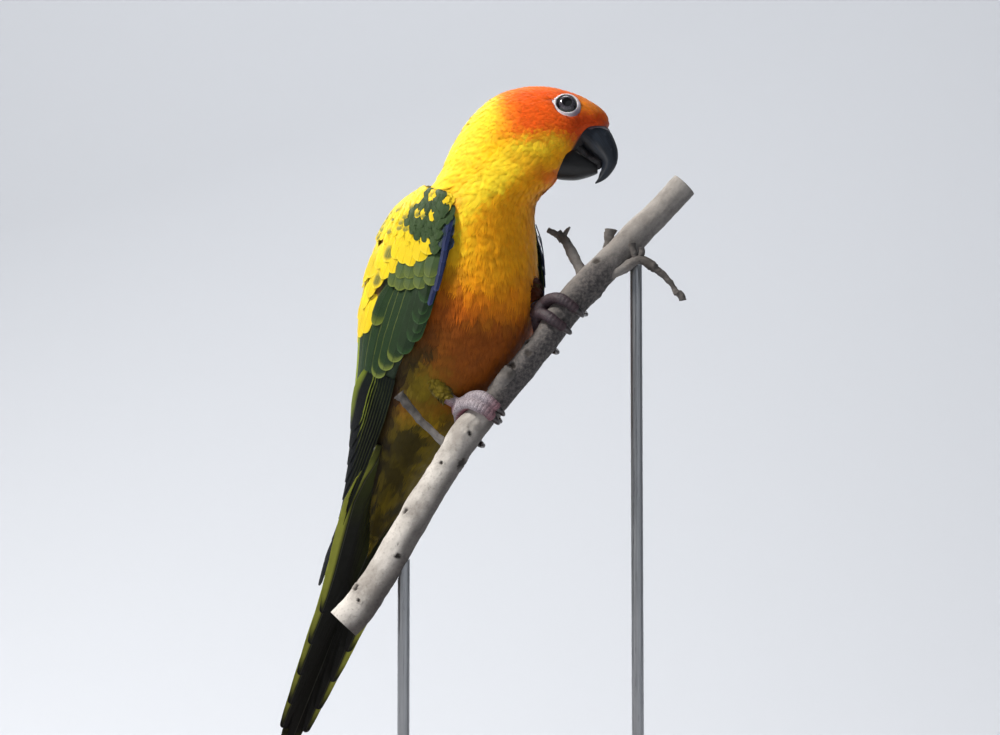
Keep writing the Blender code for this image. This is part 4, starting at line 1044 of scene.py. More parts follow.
def wing_row(name, hand, draw, tip, shape, web, end, rim, centre, small=False):
    """One tier of the wing, the feathers behind lying over those in front of them."""
    half, span, low, high = shape
    count = len(tip)
    start = tip[:, 0] - span
    root = np.stack([start, tip[:, 1] + 0.5 * (bed_edge(start) - bed_edge(tip[:, 0]))], -1)
    size = half * draw.normal(1, 0.04, count)
    tilt = 0.22 if name == "leading" else 0.13
    lifts = (np.full(count, low), np.full(count, high))
    place = wing_place(root, tip, hand)
    share = np.linspace(0, 1, 9)[None]
    length = np.linalg.norm(np.diff(place(share, 0 * share, 0 * share), axis=1), axis=-1).sum(1)
    outline, point = (ROUND, 1.6) if small else (BROAD, 1.1)
    sheet = vane_sheet(place, length, size, (outline, point, 0.26, tilt, 0.1), lifts, draw, small=small)
    s, v = sheet.s, sheet.v
    web = (web * draw.normal(1, 0.06, (count, 1)))[:, None]
    fade = ease(2.2 if name in ("secondary", "primary_covert") else 4.5, 0.4, (1 - v) * length[:, None])
    tint = mix(web, end[:, None], 0.7 * fade)
    spot = 0.9 * centre[:, None] * ease(0.85, 0.2, np.abs(s)) * ease(0.4, 0.66, v) * ease(0.98, 0.86, v)
    tint = mix(mix(tint, WING_GREEN, spot), srgb(34, 36, 40), 0.8 * (1 - sheet.top))
    vane_piece(f"{name}_{hand_name(hand)}", sheet, tint, rim[:, None], web * 0.6, WING_VANE, "wing_feather")


def small_coverts(hand, draw):
    """Scalloped rows over the shoulder: green near the front, with yellow among them, and yellow behind."""
    first = 0.27 + wing_start(hand)
    tips = []
    t, odd = 2.02, 0.0
    while t > first:
        half = 1.35 + 0.6 * t
        place = bed_edge(t) + 5.0 + odd
        while place < 160:
            tips.append((t, place, half))
            place += 1.5 * half / float(bed_scale(t, place, hand))
        t -= (0.1 + 0.055 * t) * 1.0
        odd = 1.6 - odd
    tips = np.array(tips)
    tips[:, 0] += draw.normal(0, 0.025, len(tips))
    tips[:, 1] += draw.normal(0, 0.7, len(tips))
    t, degrees, half = tips.T
    behind = degrees - bed_edge(t)
    yellow = (wing_patch(t - 0.1, degrees) > 0.5) * 1.0
    uneven = noise(np.stack([t * 12, degrees, t], -1), 6.0, 6)
    green = mix(WING_GREEN, DARK_GREEN, (0.4 + 0.5 * uneven).clip(0, 1))
    green = mix(green, BLUE, 0.8 * (ease(10, 7, behind) * ease(1.1, 1.5, t)))
    web = mix(green, mix(WING_YELLOW, PALE_YELLOW, ease(100, 130, degrees)), yellow)
    rim = mix(web * 1.15, PALE_YELLOW, yellow)
    high = 2.2 - 1.5 * ease(first + 0.95, first, t) - 1.3 * ease(11, 4, behind)
    high = high - 1.6 * ease(first + 0.8, first, t) * ease(95, 115, degrees)
    marked = yellow * (draw.random(len(t)) < 0.3) * ease(140, 125, degrees)
    shape = (half, 0.2 + 0.13 * half, high - 1.2, high)
    wing_row("coverts", hand, draw, tips[:, :2], shape, web, web, rim, marked, True)


def build_primaries(hand, draw):
    """The longest feathers, blackish, their outer edges thinly yellow-green."""
    k = np.arange(9)
    root_t, tip_t = 5.0, 10.3 - 0.42 * k

    def place(share, across, lift):
        t = root_t + (tip_t[:, None] - root_t) * share
        edge = bed_edge(t)
        scale = bed_scale(t, edge + 10, hand)
        middle = edge + (3.4 + 1.2 * k[:, None] * (1 - 0.35 * share)) / scale
        clear = (TIP_RISE + 0.36 * across) * ease(8.9, 10.0, t)
        return bed_points(t, middle + across / scale, lift + clear, hand)

    lifts = (-0.3 + 0.1 * k, -0.25 + 0.42 * k)
    taper = ((0, 0.1, 0.3, 0.75, 0.92, 1.0), (0.6, 0.85, 1.0, 0.95, 0.8, 0.5))
    levels = lambda v: ease(-0.2, 0.4, v)
    length = (tip_t - root_t) * 18.5
    sheet = vane_sheet(place, length, np.full(9, 4.6), (taper, 1.4, 0.25, 0.08, 0.05), lifts, draw, levels)
    s, v, top = sheet.s, sheet.v, sheet.top
    inner = ease(5.2, 8.0, k[:, None])
    tint = mix(mix(BLACKISH, srgb(15, 19, 24), 0.5 * top), DARK_GREEN, 0.15 * top * ease(0.35, 0.1, v))
    tint = mix(tint, srgb(122, 136, 40), 0.8 * inner * top * ease(-0.1, 0.6, s) * ease(0.98, 0.7, v))
    rim = mix(srgb(20, 23, 26), srgb(140, 154, 50), (0.1 + 0.9 * inner) * top * ease(0.98, 0.8, v))
    vane_piece(f"primaries_{hand_name(hand)}", sheet, tint, rim, srgb(12, 12, 12), FLIGHT_VANE, "wing_feather")


def build_wing(hand):
    name = hand_name(hand)
    draw = np.random.default_rng(60 + hand)
    # The wing's body under its feathers
    start = 0.05 + wing_start(hand)
    t, u = np.linspace(start, 6.3, 60)[:, None], np.linspace(0, 1, 40)[None]
    front = bed_edge(t) + 4
    rear = 158 - 26 * ease(1.2, 0.0, t) - 8 * ease(4.5, 6.5, t)
    degrees = front + (rear - front) * u
    taper = np.minimum(1.0, np.minimum((t + 0.3) / 1.1, (7.0 - t) / 1.6))
    swell = np.sin(PI * (0.04 + 0.92 * u)) ** 0.5
    sink = 3.2 * ease(start + 0.9, start + 0.1, t)
    outer = bed_points(t, degrees, 0.25 * taper * swell - 1.3 * (1 - swell) - sink, hand)
    inner = bed_points(t, degrees, -3.0 - MANTLE_RISE * ease(80, 125, degrees) - sink, hand)
    points, faces = closed_tubes(np.concatenate([outer, inner[:, ::-1]], 1))
    degrees = np.concatenate([degrees, degrees[:, ::-1]], 1)
    yellow = wing_patch(t, degrees) * np.maximum(ease(2.5, 2.2, t), ease(96, 112, degrees))
    tint = with_ends(mix(DARK_GREEN, GOLD, yellow) * 0.8)
    uv = with_ends(sheet_uv(np.linspace(0, 1, 80), t / 7))
    core = make_mesh(f"wing_body_{name}", points, faces, GROUND, {"tint": tint}, uv)
    put(core, "wing_feather", "wing_" + name)
    build_primaries(hand, draw)
    # Rows over them, from the lowest to the highest
    for row, (shape, kinds, tips) in FIRM_ROWS.items():
        tips = table(2, tips)
        web, end, rim = (np.array([KINDS[kind][part] for kind in kinds]) for part in range(3))
        centre = np.array([float(kind == "c") for kind in kinds])
        tip = tips + draw.normal(0, 1, tips.shape) * [0.02, 0.3]
        wing_row(row, hand, draw, tip, shape, web, end, rim, centre)
    small_coverts(hand, draw)


def build_scapulars():
    """Long yellow feathers that close the wings over the back."""
    gap = lambda t: np.full(np.shape(t), 2.1 * (1.0))
    for hand in (-1, 1):
        surface = wing_surface(hand)
        start = max(wing_start(hand), 0.75)
        t, angle = scatter(surface, (start, 4.6), (math.radians(126), math.radians(177)), gap, 90 + hand)
        degrees = np.degrees(angle)
        colour = mix(WING_YELLOW, PALE_YELLOW, 0.5 + 0.4 * noise(surface(t, angle), 8.0, 7))
        colour = mix(colour, PALE_GREEN, 0.5 * ease(3.4, 4.4, t))
        length = 8.0 + 4.0 * ease(0.5, 3.0, t)
        top = np.interp(degrees, [126, 150, 177], [1.9, 1.2, -1.2]) - 3.0 * ease(start + 1.5, start, t)
        lifts = (top[:, None] - 1.6, top[:, None])
        uv = sheet_uv(degrees / 180, np.clip((t + 1) / 8, 0, 1), high=0.97)
        name, seed = f"scapulars_{hand_name(hand)}", 95 + hand
        soft_coat(name, surface, t, angle, length, length * 0.33, lifts, colour, uv, seed, 7, 0.08)


# Tail


def build_tail():
    plans = [(k, hand, *pair) for k, pair in enumerate(TAIL_PAIRS) for hand in (-1, 1)]
    k, hand, length, offset, half = np.array(plans, float).T
    level = 2.0 - TAIL_STEP * (k + ((k > 0) | (hand == 1)))

    def place(share, across, lift):
        along = 2 + (length[:, None] - 2) * share
        spread = 1 + 0.6 * ease(76, 15, along)
        return tail_points(along, (hand * offset)[:, None] * spread + across, level[:, None] + lift)

    taper = ((0, 0.15, 0.3, 0.65, 0.88, 0.97, 1.0), (0.95, 1.0, 1.0, 0.95, 0.72, 0.5, 0.36))
    lifts = (np.zeros(len(plans)),) * 2
    draw = np.random.default_rng(33)
    sheet = vane_sheet(place, length - 2, half, (taper, 1.3, 0.26, 0.0, 0.06), lifts, draw)
    s, v, top = sheet.s, sheet.v, sheet.top
    upper = mix(srgb(92, 104, 40), srgb(40, 60, 88), ease(0.5, 0.9, v))
    under = mix(srgb(20, 22, 16), srgb(74, 82, 26), 0.7 * ease(0.55, 0.15, v))
    outer = (s * hand[:, None] > 0) * 1.0
    # The band is its own yellow-green painted brighter: painted light where the tail's underside lies in shade
    band = srgb(196, 202, 84)
    rim = mix(srgb(26, 26, 26), band, outer * ease(1.0, 0.85, v))
    dark = 0.9 * outer * (np.abs(np.abs(s) - 0.2) < 0.15) * (1 - top)
    tint = mix(mix(under, upper, top), srgb(8, 9, 8), dark)
    edge = 0.95 * outer * (np.abs(s) > 0.35) * (k[:, None] > 0) * ease(1.0, 0.9, v) * ease(0.04, 0.24, v)
    tint = mix(tint, band, edge)
    vane_piece("tail_feathers", sheet, tint, rim, srgb(96, 98, 88), TAIL_VANE, "tail_feather", "tail")


# Head: eyes, bare skin and bill


def eye_material():
    look = Look("eye", 0.1, Coat_Weight=0.35, Coat_Roughness=0.03, Specular_IOR_Level=0.5)
    polar = look.number("polar")
    inputs = ("W", look.number("spin")), ("Scale", 9.0), ("Detail", 3.0)
    streak = look.add("TexNoise", "Fac", *inputs, noise_dimensions="1D")
    iris = look.blend(look.between(streak, 0.35, 0.65), srgb(36, 34, 40), srgb(84, 80, 88))
    iris = look.blend(look.between(polar, 0.56, 0.68), iris, srgb(8, 7, 8))
    return look.finish(look.blend(look.between(polar, 0.33, 0.4), srgb(4, 3, 4), iris))


def bare_material(name, shaded):
    """Naked skin: whitish, finely creased and granular, greyer where the shade attribute says: painted shade low
    down on the eyes' rings, and the cere's own grey on the cere.
    """
    look = Look(name, 0.48, Subsurface_Weight=0.15, Subsurface_Scale=0.001)
    grain = look.cells(3600)
    colour = look.blend(look.between(look.lumps(1300), 0.3, 0.7), srgb(214, 206, 214), srgb(242, 240, 244))
    colour = look.blend(look.number("shade"), colour, shaded)
    crease = look.times(look.less(1.0, look.between(grain, 0.0, 0.12)), 0.2)
    return look.finish(look.blend(crease, colour, srgb(128, 112, 118)), None, grain, 0.00008)


def bill_material():
    """Slate horn: long fine growth lines, worn paler flakes, and a soft shine."""
    look = Look("bill_horn", 0.34, Coat_Weight=0.1, Coat_Roughness=0.25, Specular_IOR_Level=0.35)
    growth, turn = look.times(look.number("growth"), 0.22), look.times(look.number("turn"), 6.0)
    lines = look.lumps(1.6, 4.0, vector=look.add("CombineXYZ", 0, (0, growth), (1, turn)))
    flake = look.between(look.lumps(420, 4.0, 0.7), 0.6, 0.72)
    colour = look.blend(look.between(lines, 0.35, 0.7), srgb(17, 22, 30), srgb(31, 39, 51))
    colour = look.blend(look.times(flake, 0.25), colour, srgb(84, 90, 100))
    colour = look.blend(look.number("shade"), colour, srgb(13, 13, 15))
    colour = look.blend(look.number("worn"), colour, srgb(136, 134, 128))
    return look.finish(colour, look.scaled(lines, 0.25, 0.26), look.scaled(flake, 0.3, lines), 0.00012)


def tongue_material():
    look = Look("tongue_skin", 0.6)
    rough = look.lumps(900, 4.0, 0.7)
    colour = look.blend(look.between(rough, 0.35, 0.7), srgb(10, 9, 10), srgb(52, 49, 52))
    return look.finish(colour, None, rough, 0.0003)


# The section of the bare ring with its lids: shares from its inside out, and heights
LID_PROFILE = """
    0 -2  0 -.15  .04 .08  .12 .2  .22 .2  .32 .12  .42 .12  .54 .16  .68 .12  .82 .04  .94 -.12  1 -.4  1 -1.8
"""


def build_eye(hand, look):
    name = "left" if hand == 1 else "right"
    centre, forward, up, out = eye_frame(hand)
    polar, turn = np.meshgrid(np.linspace(0.001, PI - 0.001, 60), once_round(64), indexing="ij")
    reach = EYE_RADIUS + 0.2 * ease(0.75, 0.4, polar)
    circle = np.cos(turn)[..., None] * forward + np.sin(turn)[..., None] * up
    direction = np.cos(polar)[..., None] * out + np.sin(polar)[..., None] * circle
    points, faces = closed_tubes(centre - out * EYE_DEPTH + direction * reach[..., None])
    floats = {"polar": with_ends(polar, 0, PI), "spin": with_ends(turn, 0, 0)}
    uv = with_ends(sheet_uv(turn / FULL_TURN, polar / PI))
    eye = make_mesh(f"eyeball_{name}", points, faces, look, uv=uv, floats=floats)
    put(eye, "eye", "eye_" + name)
    # The bare ring with its lids, as one closed band
    share, height = table(2, LID_PROFILE).T[..., None]
    turn = once_round(160)[None]
    inner = lid_reach(turn)
    radius = inner + (ring_reach(turn) - inner) * share
    crease = noise(np.stack(np.broadcast_arrays(radius * 3, np.cos(turn) * 5, np.sin(turn) * 5), -1), 1.0, 8)
    ball_rise = np.sqrt(np.maximum(EYE_RADIUS**2 - inner**2, 0.0)) - EYE_DEPTH
    outer_rise = 0.25 - np.minimum(radius, 5.8) ** 2 / 30
    on_skin = ease(0.0, 0.45, share)
    rise = height + 0.1 + (ball_rise * (1 - on_skin) + outer_rise * on_skin) + 0.03 * crease * (height > -0.2)
    x, y = radius * np.cos(turn), radius * np.sin(turn)
    points = centre + x[..., None] * forward + y[..., None] * up + rise[..., None] * out
    rows, columns = points.shape[:2]
    points = points.reshape(-1, 3)
    faces = grid_faces(rows, columns, closed=True)
    j, last = np.arange(columns), (rows - 1) * columns
    k = (j + 1) % columns
    faces = np.concatenate([faces, np.stack([last + j, last + k, k, j], -1)])
    if inside_out(points, faces):
        faces = faces[:, ::-1]
    # Painted shade: the ring greyer low in front, and a grey line along the low groove between lid and ring
    low = bell((plain_degrees(turn), -45, 50)) * ease(0.05, 0.4, share)
    low = np.maximum(low, 0.5 * bell((share, 0.36, 0.06)))
    uv, floats = sheet_uv(turn / FULL_TURN, share), {"shade": low.ravel()}
    ring = make_mesh(f"lids_{name}", points, [faces], BARE, uv=uv, floats=floats)
    put(ring, "bare_skin", "eye_ring_" + name)


def bill_section(rows, x):
    """A section of the bill: its middle, the way from there to its upper side, and its half width and reach."""
    q0, h0, q1, h1, half = np.moveaxis(rows_at(rows, x), -1, 0)
    return (q0 + q1) / 2, (h0 + h1) / 2, (q0 - q1) / 2, (h0 - h1) / 2, half, np.hypot(q0 - q1, h0 - h1) / 2


def build_bill(look):
    turn = once_round(64)
    for name, rows, rings, keel in (("upper", UPPER_BILL, 120, 0.12), ("lower", LOWER_BILL, 80, 0.0)):
        x = (np.linspace(0, 1, rings) ** 0.85 * (len(rows) - 1))[:, None]
        q, h, step_q, step_h, half, _ = bill_section(rows, x)
        # The culmen is a soft ridge, and the sides are full
        up = np.cos(turn)[None]
        side = half * (np.sin(turn) * (1 - keel * ease(0.6, 1.0, up)))
        points, faces = closed_tubes(head_point(q + step_q * up, side, h + step_h * up))
        x, round_by = np.broadcast_arrays(x, np.abs(turn - PI))
        under = PI - round_by
        # The shade attribute paints near-black: painted shade on the upper half's underside near its root, and on
        # the lower half its own dark horn and partly painted shade
        if name == "upper":
            shade = 0.8 * ease(1.9, 2.6, under) * ease(7, 5, x)
            worn = 0.12 * bell((under, 1.8, 0.12)) * ease(2.5, 4, x)
        else:
            shade = np.ones_like(x)
            edge = np.interp(x, [1.3, 2.6, 3.6], [0.95, 0.75, 0.6])
            worn = 0.8 * bell((under, edge, 0.05)) * ease(1.2, 1.7, x) * ease(4.4, 3.4, x)
        floats = {"turn": round_by, "shade": shade, "worn": worn}
        floats = {label: with_ends(values, 0, 0) for label, values in floats.items()}
        floats["growth"] = with_ends(x, 0, 9)
        uv = with_ends(sheet_uv(turn / FULL_TURN, x / len(rows)))
        bill = make_mesh(f"bill_{name}_horn", points, faces, look, uv=uv, floats=floats)
        put(bill, "bill_horn", "bill_" + name)
    # The rough dark tongue between the two halves: rows of q, h, half height and half width
    middle = table(
        4,
        """
        31.0 20.4 2.2 3.8  33.6 18.4 2.6 3.9  36.2 15.6 3.2 3.4  38.4 13.8 3.0 2.9
        40.4 13.0 2.6 2.5  42.0 12.6 1.9 1.7  42.7 12.6 0.4 0.4
        """,
    )
    q, h, high, wide = np.moveaxis(spline(middle, 40)[:, None], -1, 0)
    turn = once_round(40)[None]
    grid = head_point(q, wide * np.sin(turn), h + high * np.cos(turn))
    points, faces = closed_tubes(swollen(grid, 0.28 * noise(grid, 1.1, 21) + 0.14 * noise(grid, 0.5, 22)))
    uv = with_ends(sheet_uv(turn / FULL_TURN, q / 90))
    put(make_mesh("tongue", points, faces, tongue_material(), uv=uv), "bill_horn")
    # The cere: a low saddle of bare skin over the root of the bill, with the nostrils in it
    turn, share = np.linspace(-PI, PI, 72, endpoint=False)[None], np.linspace(0, 1, 40)[:, None]
    aside = np.abs(turn)
    x = 1.0 + (0.5 + 0.58 * ease(1.3, 0.1, aside)) * share
    q, h, step_q, step_h, half, reach = bill_section(UPPER_BILL, x)
    lift = 0.55 * (1 - (2 * share - 1) ** 4) * ease(1.75, 1.2, aside) - 0.25 - 0.3 * (share > 0.97)
    lift = lift + 0.1 * noise(np.stack(np.broadcast_arrays(x * 9, turn * 6, x), -1), 1.0, 23)
    shade = 1.0 - 0.3 * bell((aside, 0.55, 0.3)) * ease(0.5, 0.8, share)
    for hand in (-1, 1):
        pit = ((share - 0.72) / 0.12) ** 2 + ((turn - hand * 0.45) / 0.12) ** 2
        lift = lift + 0.2 * bell((pit**0.5, 1.5, 0.5)) - 0.9 * np.exp(-pit)
        shade = np.maximum(shade, np.exp(-pit))
    up = np.cos(turn) * (reach + lift) / reach
    points, faces = closed_tubes(head_point(q + step_q * up, (half + lift) * np.sin(turn), h + step_h * up))
    uv, floats = with_ends(sheet_uv(turn / FULL_TURN + 0.5, share)), {"shade": with_ends(shade, 0, 0)}
    put(make_mesh("cere_skin", points, faces, CERE, uv=uv, floats=floats), "bare_skin", "cere")


# Feet and claws

TOE_STEPS, SHANK_STEPS, CLAW_STEPS = 40, 24, 30
VOXEL, PLATE_LENGTH = 0.00034, 1.25


def foot_material(name, pale, crease, sole):
    """Scaly skin: small plates with dark creases between them, pink under the toes; the creases' darkness and the
    soles' maroon are partly painted shade.
    """
    look = Look(name, 0.55)
    plate = look.cells(1700)
    gap = look.less(1.0, look.between(plate, 0.0, 0.1))
    colour = look.blend(look.between(look.lumps(500), 0.3, 0.7), pale * 0.72, pale)
    colour = look.blend(look.number("sole"), colour, sole)
    colour = look.blend(look.calc("MAXIMUM", look.times(gap, 0.8), look.number("groove")), colour, crease)
    return look.finish(colour, None, plate, 0.0003, 0.8)


def claw_material():
    look = Look("claw_horn", 0.3, Coat_Weight=0.2, Coat_Roughness=0.2)
    colour = look.blend(look.between(look.lumps(500), 0.35, 0.7), srgb(24, 20, 22), srgb(66, 58, 58))
    return look.finish(colour, None, look.lumps(1400), 0.00008)


def melted(name, points, faces, look):
    """The points and triangles of overlapping bodies made into one skin."""
    rough = make_mesh(name, points, faces, look)
    melt = rough.modifiers.new("melt", "REMESH")
    melt.mode = "VOXEL"
    melt.voxel_size = VOXEL
    rough.modifiers.new("soften", "SMOOTH").iterations = 3
    bpy.context.view_layer.update()
    graph = bpy.context.evaluated_depsgraph_get()
    mesh = bpy.data.meshes.new_from_object(rough.evaluated_get(graph), depsgraph=graph)
    bpy.data.objects.remove(rough)
    skin = np.empty(len(mesh.vertices) * 3, np.float32)
    mesh.vertices.foreach_get("co", skin)
    mesh.calc_loop_triangles()
    triangles = np.empty(len(mesh.loop_triangles) * 3, np.int32)
    mesh.loop_triangles.foreach_get("vertices", triangles)
    bpy.data.meshes.remove(mesh)
    return skin.reshape(-1, 3) / MM, triangles.reshape(-1, 3)


def build_foot(name, look, claw_look):
    plan = FEET[name]
    paths = []
    for stops in plan["toes"]:
        t, degrees = spline(stops, TOE_STEPS).T
        radii = TOE_RADIUS + (TOE_TIP_RADIUS - TOE_RADIUS) * np.linspace(0, 3, TOE_STEPS) / 3
        centres = branch_surface(t, np.radians(degrees), radii * 0.8)
        # Pads swell between the joints
        radii = radii * (1 + 0.06 * np.cos(np.linspace(0, 4 * PI, TOE_STEPS)))
        radii[-4:] *= np.array([0.99, 0.94, 0.82, 0.6])
        paths.append((centres, radii))
    t, degrees = plan["palm"]
    palm = branch_surface(t, math.radians(degrees), 2.2)
    ankle = posed(*plan["ankle"])
    shank = spline([palm, (palm + ankle) / 2, ankle], SHANK_STEPS)
    paths.append((shank, np.interp(np.linspace(0, 1, SHANK_STEPS), [0, 0.5, 1], [2.5, 2.15, 2.4])))
    centre, along, *_ = branch_frame(t)
    out = unit(palm - centre)
    pole, turn = np.linspace(0.02, PI - 0.02, 20)[:, None, None], once_round(28)[None, :, None]
    ring = along * 4.4 * np.cos(turn) + np.cross(out, along) * 3.8 * np.sin(turn)
    pad = palm + out * 3.1 * np.cos(pole) + ring * np.sin(pole)
    bodies = closed_tubes(*(along_path(*path, 20) for path in paths), pad)
    skin, faces = melted(f"foot_{name}_form", *bodies, look)
    # Broad plates across the top of each toe and down the front of the shank
    line = np.concatenate([centres for centres, _ in paths])
    steps = (np.diff(centres, axis=0, prepend=centres[:1]) for centres, _ in paths)
    run = np.concatenate([np.cumsum(np.linalg.norm(step, axis=1)) for step in steps])
    nearest = [((skin[at : at + 4000, None] - line) ** 2).sum(-1).argmin(1) for at in range(0, len(skin), 4000)]
    nearest = np.concatenate(nearest)
    off = skin - line[nearest]
    away = unit(off)
    branch_line = rows_at(BRANCH_ROWS, np.linspace(4.5, 10, 120))[:, :3]
    core = branch_line[((skin[:, None] - branch_line) ** 2).sum(-1).argmin(1)]
    facing = (away * unit(skin - core)).sum(-1)
    phase = run[nearest] + (off * unit(np.gradient(line, axis=0))[nearest]).sum(-1)
    wave = np.abs(np.sin(PI * phase / PLATE_LENGTH))
    # Dark creases where the skin is pressed in: partly painted shade in the grooves
    groove = ease(0.3, 0.0, wave) * ease(0.0, 0.35, facing)
    skin = skin + away * (0.1 * wave**0.5 * ease(0.0, 0.4, facing) - 0.1 * groove)[:, None]
    share = np.concatenate([np.linspace(0, 1, TOE_STEPS)] * len(TOES) + [np.zeros(SHANK_STEPS)])[nearest]
    # Pink of the pads, deepened to maroon under the toes and towards their tips: partly painted shade
    sole = np.maximum(ease(0.25, -0.3, facing) * 0.9, 0.75 * ease(0.45, 0.9, share))
    x, y, z = skin.T
    uv = np.stack([(x - x.min()) / 40, (z - z.min() + 0.3 * y) / 60], -1) % 1
    floats = {"groove": groove * 0.8, "sole": sole}
    scales = make_mesh(f"foot_{name}_scales", skin, [faces], look, uv=uv, floats=floats)
    put(scales, "foot_scale", "foot_" + name)
    # Claws
    u = np.linspace(0, 1, CLAW_STEPS)
    lift = 1.55 + 1.0 * np.sin(PI * u) - 0.95 * u
    for toe, stops in zip(TOES, plan["toes"]):
        t, degrees = stops[-1]
        swing = np.radians(degrees + math.copysign(1, degrees) * (-3 + (CLAW_TURN + 7) * u))
        centres = branch_surface(np.full(CLAW_STEPS, t), swing, lift)
        body = closed_tubes(along_path(centres, 1.42 * (1 - u) ** 0.72 + 0.12, 20))
        put(make_mesh(f"claw_{name}_{toe}_horn", *body, claw_look), "claw_horn", f"claw_{name}_{toe}")


# Perch

TWIG_NET = (60, 24)


def bark_material():
    """Smooth pale bark: grey patches, dark specks and scars, and fine cracks along the branch. The dark grey of
    the grey attribute is painted shade on the branch's underside, partly painted shade on its upper part, and the
    twigs' own grey.
    """
    look = Look("bark", 0.8)
    broad, fine = look.lumps(60, 5.0, 0.65), look.lumps(900, 4.0, 0.65)
    colour = look.blend(look.between(broad, 0.35, 0.65), srgb(156, 149, 142), srgb(206, 200, 193))
    grey = look.blend(look.between(fine, 0.3, 0.7), srgb(44, 41, 42), srgb(88, 83, 82))
    colour = look.blend(look.number("grey"), colour, grey)
    colour = look.blend(look.times(look.between(fine, 0.5, 0.72), 0.4), colour, srgb(104, 96, 88))
    speck = look.between(look.lumps(300, 2.0, 0.5, stretch=(1.0, 1.0, 0.55), seed=5.0), 0.73, 0.8)
    colour = look.blend(look.times(speck, 0.7), colour, srgb(58, 50, 44))
    colour = look.blend(look.number("scar"), colour, srgb(46, 40, 36))
    return look.finish(colour, None, look.scaled(fine, 0.6, look.times(speck, -0.8)), 0.0005)


def build_perch(look):
    t, angle = tube_net(len(BRANCH_ROWS) - 1, 420, 72)
    base = branch_surface(t, angle)
    bumps = 0.35 * noise(base, 9.0, 11) + 0.16 * noise(base, 2.6, 12) + 0.07 * noise(base, 0.9, 13)
    scar = np.zeros(t.shape)
    for spot, size in zip(branch_surface(SCARS[:, 0], np.radians(SCARS[:, 1])), SCARS[:, 2]):
        near = np.linalg.norm(base - spot, axis=-1) / size + 0.35 * noise(base, 0.8, 14)
        scar = np.maximum(scar, ease(0.85, 0.45, near))
        bumps = bumps + 0.35 * np.exp(-((near - 0.9) ** 2) / 0.05) - 0.5 * ease(0.8, 0.3, near)
    for knob in branch_surface(np.array([5.35, 9.35, 7.7]), np.radians([80, 200, 75])):
        near = np.linalg.norm(base - knob, axis=-1)
        bumps = bumps + 0.7 * bell((near, 0, 4.0)) * (1 + noise(base, 1.6, 15))
    grids = [branch_surface(t, angle, np.clip(bumps - 0.15, -0.9, 1.1))]
    # The grey attribute: painted shade on the branch's underside, and on its upper part a grey that deepens
    # towards the underside, partly painted shade
    around = np.where(angle > 1.5 * PI, angle - FULL_TURN, angle) + 0.25 * noise(base, 7.0, 16)
    upper = ease(5.3, 6.6, t + 0.5 * noise(base, 12.0, 16))
    upper = upper * (0.72 + 0.28 * ease(0.3, 1.5, around)) * (1 - 0.4 * ease(9.4, 10.4, t))
    scars = [with_ends(scar, 0.8, 0.8)]
    greys = [with_ends(np.maximum(0.8 * ease(1.6, 2.4, around), upper), 0.3, 0.3)]
    u = np.linspace(0, 1, TWIG_NET[0])
    for k, rows in enumerate(TWIGS + SHOOTS):
        size = np.interp(u, np.linspace(0, 1, len(rows)), rows[:, 3])
        grid = along_path(spline(rows[:, :3], TWIG_NET[0]), size, TWIG_NET[1])
        rough = 0.3 * noise(grid, 2.2, 17) + 0.15 * noise(grid, 0.8, 18)
        grid = swollen(grid, rough * (1 + 1.5 * ease(0.75, 1.0, u))[:, None])
        dark = 0.7 if k >= len(TWIGS) else 0.85 * ease(0.45, 0.8, u)[:, None]
        grids.append(grid)
        scars.append(with_ends(dark * (0.75 + 0.35 * noise(grid, 2.0, 19)), 0.4, 0.9))
        greys.append(np.full(len(scars[-1]), 0.75))
    floats = {"scar": np.concatenate(scars), "grey": np.concatenate(greys)}
    put(make_mesh("perch_bark", *closed_tubes(*grids), look, floats=floats), "bark", "perch")


# Stand, stage, light and camera


def wood_material():
    look = Look("plinth_wood", 0.4, Coat_Weight=0.25, Coat_Roughness=0.2)
    inputs = ("Vector", look.add("TexCoord", "Object")), ("Scale", 55.0), ("Distortion", 5.0)
    inputs += ("Detail", 3.0), ("Detail Scale", 1.6)
    rings = look.add("TexWave", "Fac", *inputs, wave_type="BANDS", bands_direction="Y")
    pores = look.lumps(220, stretch=(0.12, 4.0, 1.0))
    colour = look.blend(rings, srgb(52, 34, 25), srgb(92, 62, 44))
    colour = look.blend(look.times(look.between(pores, 0.55, 0.75), 0.5), colour, srgb(28, 18, 14))
    return look.finish(colour, look.scaled(pores, 0.2, 0.3), pores, 0.0001)


def rod_material():
    look = Look("rod_steel", 0.3, Metallic=1.0)
    brushed = look.lumps(260, stretch=(6.0, 6.0, 0.15))
    colour = look.blend(brushed, srgb(150, 152, 156), srgb(206, 207, 210))
    return look.finish(colour, look.scaled(brushed, 0.2, 0.2))


def build_stage():
    """A pale floor that rises in a wide curve behind the model."""
    depth = [(-3.0, 0.0), (1.0, 0.0)]
    depth += [(1.0 + 1.2 * math.sin(a), 1.2 - 1.2 * math.cos(a)) for a in np.linspace(0.05, PI / 2, 24)]
    depth += [(2.2, 4.0)]
    points = np.array([[(x, y, z) for x in (-4.0, 4.0)] for y, z in depth]) / MM
    paper = Look("paper", 0.9).finish((0.55, 0.57, 0.61))
    stage = make_mesh("stage", points, [grid_faces(len(depth), 2)[:, ::-1]], paper)


def lamp(name, place, target, size, power, colour=(1.0, 1.0, 1.0)):
    light = bpy.data.lights.new(name, "AREA")
    light.shape = "DISK"
    light.size, light.energy, light.color = size, power, colour
    made = bpy.data.objects.new(name, light)
    bpy.context.scene.collection.objects.link(made)
    made.location = place
    aim = (np.array(target) - np.array(place)).tolist()
    made.rotation_euler = Vector(aim).to_track_quat("-Z", "Y").to_euler()


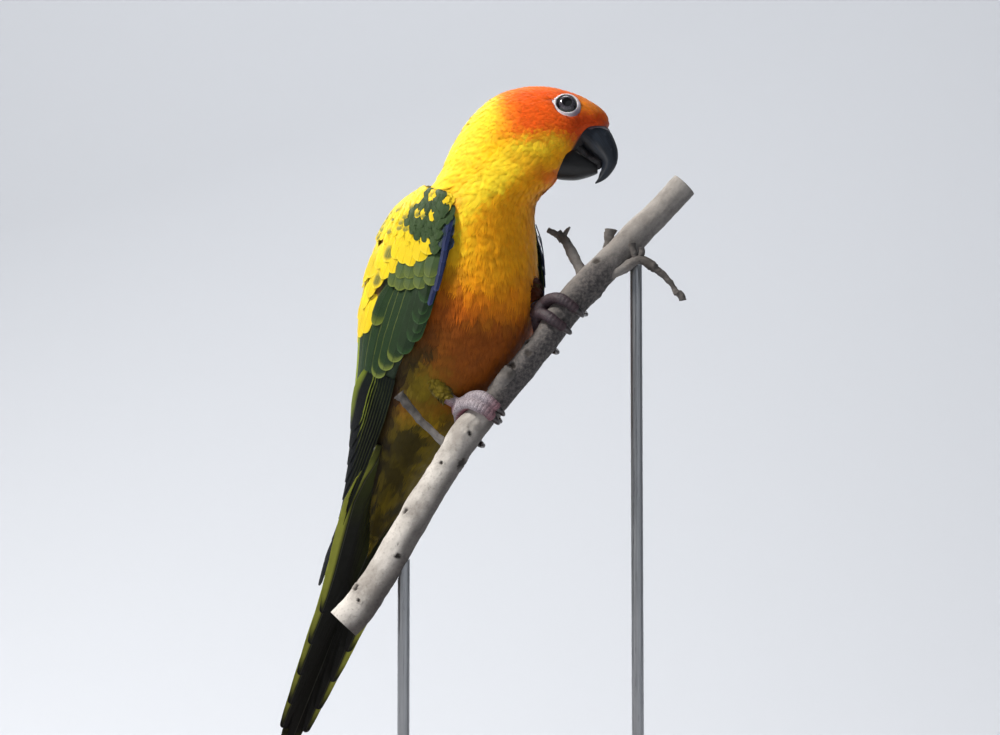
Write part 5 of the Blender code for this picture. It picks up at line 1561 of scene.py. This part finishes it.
def build_light():
    world = bpy.data.worlds.new("studio")
    bpy.context.scene.world = world
    world.use_nodes = True
    ground = world.node_tree.nodes["Background"]
    ground.inputs["Color"].default_value = (0.86, 0.92, 1.0, 1)
    ground.inputs["Strength"].default_value = 0.14
    middle = (0.0, -0.01, 0.16)
    lamp("key", (-1.05, -0.64, 1.5), middle, 0.4, 46, (1.0, 0.97, 0.92))
    lamp("fill", (0.9, -1.5, 0.7), middle, 2.4, 3.5, (0.92, 0.96, 1.0))
    lamp("back", (-0.6, 1.1, 1.3), middle, 0.8, 12, (1.0, 0.98, 0.95))
    lamp("backdrop", (0.0, 1.0, 2.4), (0.0, 2.3, 0.6), 1.2, 30)
    bpy.context.scene.view_settings.view_transform = "Standard"


# Pixels across the photo, and for each metre of the bird in it
PHOTO_WIDTH, PHOTO_SCALE = 1000, 2730


def build_camera():
    reach, rise = 1.25, math.radians(6)
    target = np.array([0.010, -0.022, 0.1584])
    ahead = np.array([0, math.cos(rise), math.sin(rise)])
    data = bpy.data.cameras.new("camera")
    data.sensor_width = 36
    data.lens = data.sensor_width * reach / (PHOTO_WIDTH / PHOTO_SCALE)
    data.clip_start = 0.05
    made = bpy.data.objects.new("camera", data)
    bpy.context.scene.collection.objects.link(made)
    made.location = target - ahead * reach
    made.rotation_euler = (PI / 2 + rise, 0, 0)
    bpy.context.scene.camera = made


build_camera()
build_stage()
build_light()
build_skin()
build_coat()
for hand in (-1, 1):
    build_wing(hand)
build_scapulars()
build_tail()
# The rings' greyer colour is painted shade; the cere's is its own
BARE = bare_material("bare_skin", srgb(112, 98, 114))
CERE = bare_material("cere_skin", srgb(74, 62, 70))
EYE = eye_material()
for hand in (-1, 1):
    build_eye(hand, EYE)
build_bill(bill_material())
CLAW = claw_material()
build_foot("right", foot_material("foot_pale", srgb(172, 162, 169), srgb(64, 48, 56), srgb(122, 58, 70)), CLAW)
# The left foot takes a darker copy of the foot material: painted shade on the far foot
build_foot("left", foot_material("foot_shaded", srgb(66, 52, 60), srgb(20, 15, 18), srgb(58, 34, 42)), CLAW)
build_perch(bark_material())
WOOD, STEEL = wood_material(), rod_material()
for node, look in (("stand_base", WOOD), ("stand_rod_lower", STEEL), ("stand_rod_upper", STEEL)):
    for material_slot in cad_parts[node].material_slots:
        material_slot.material = look
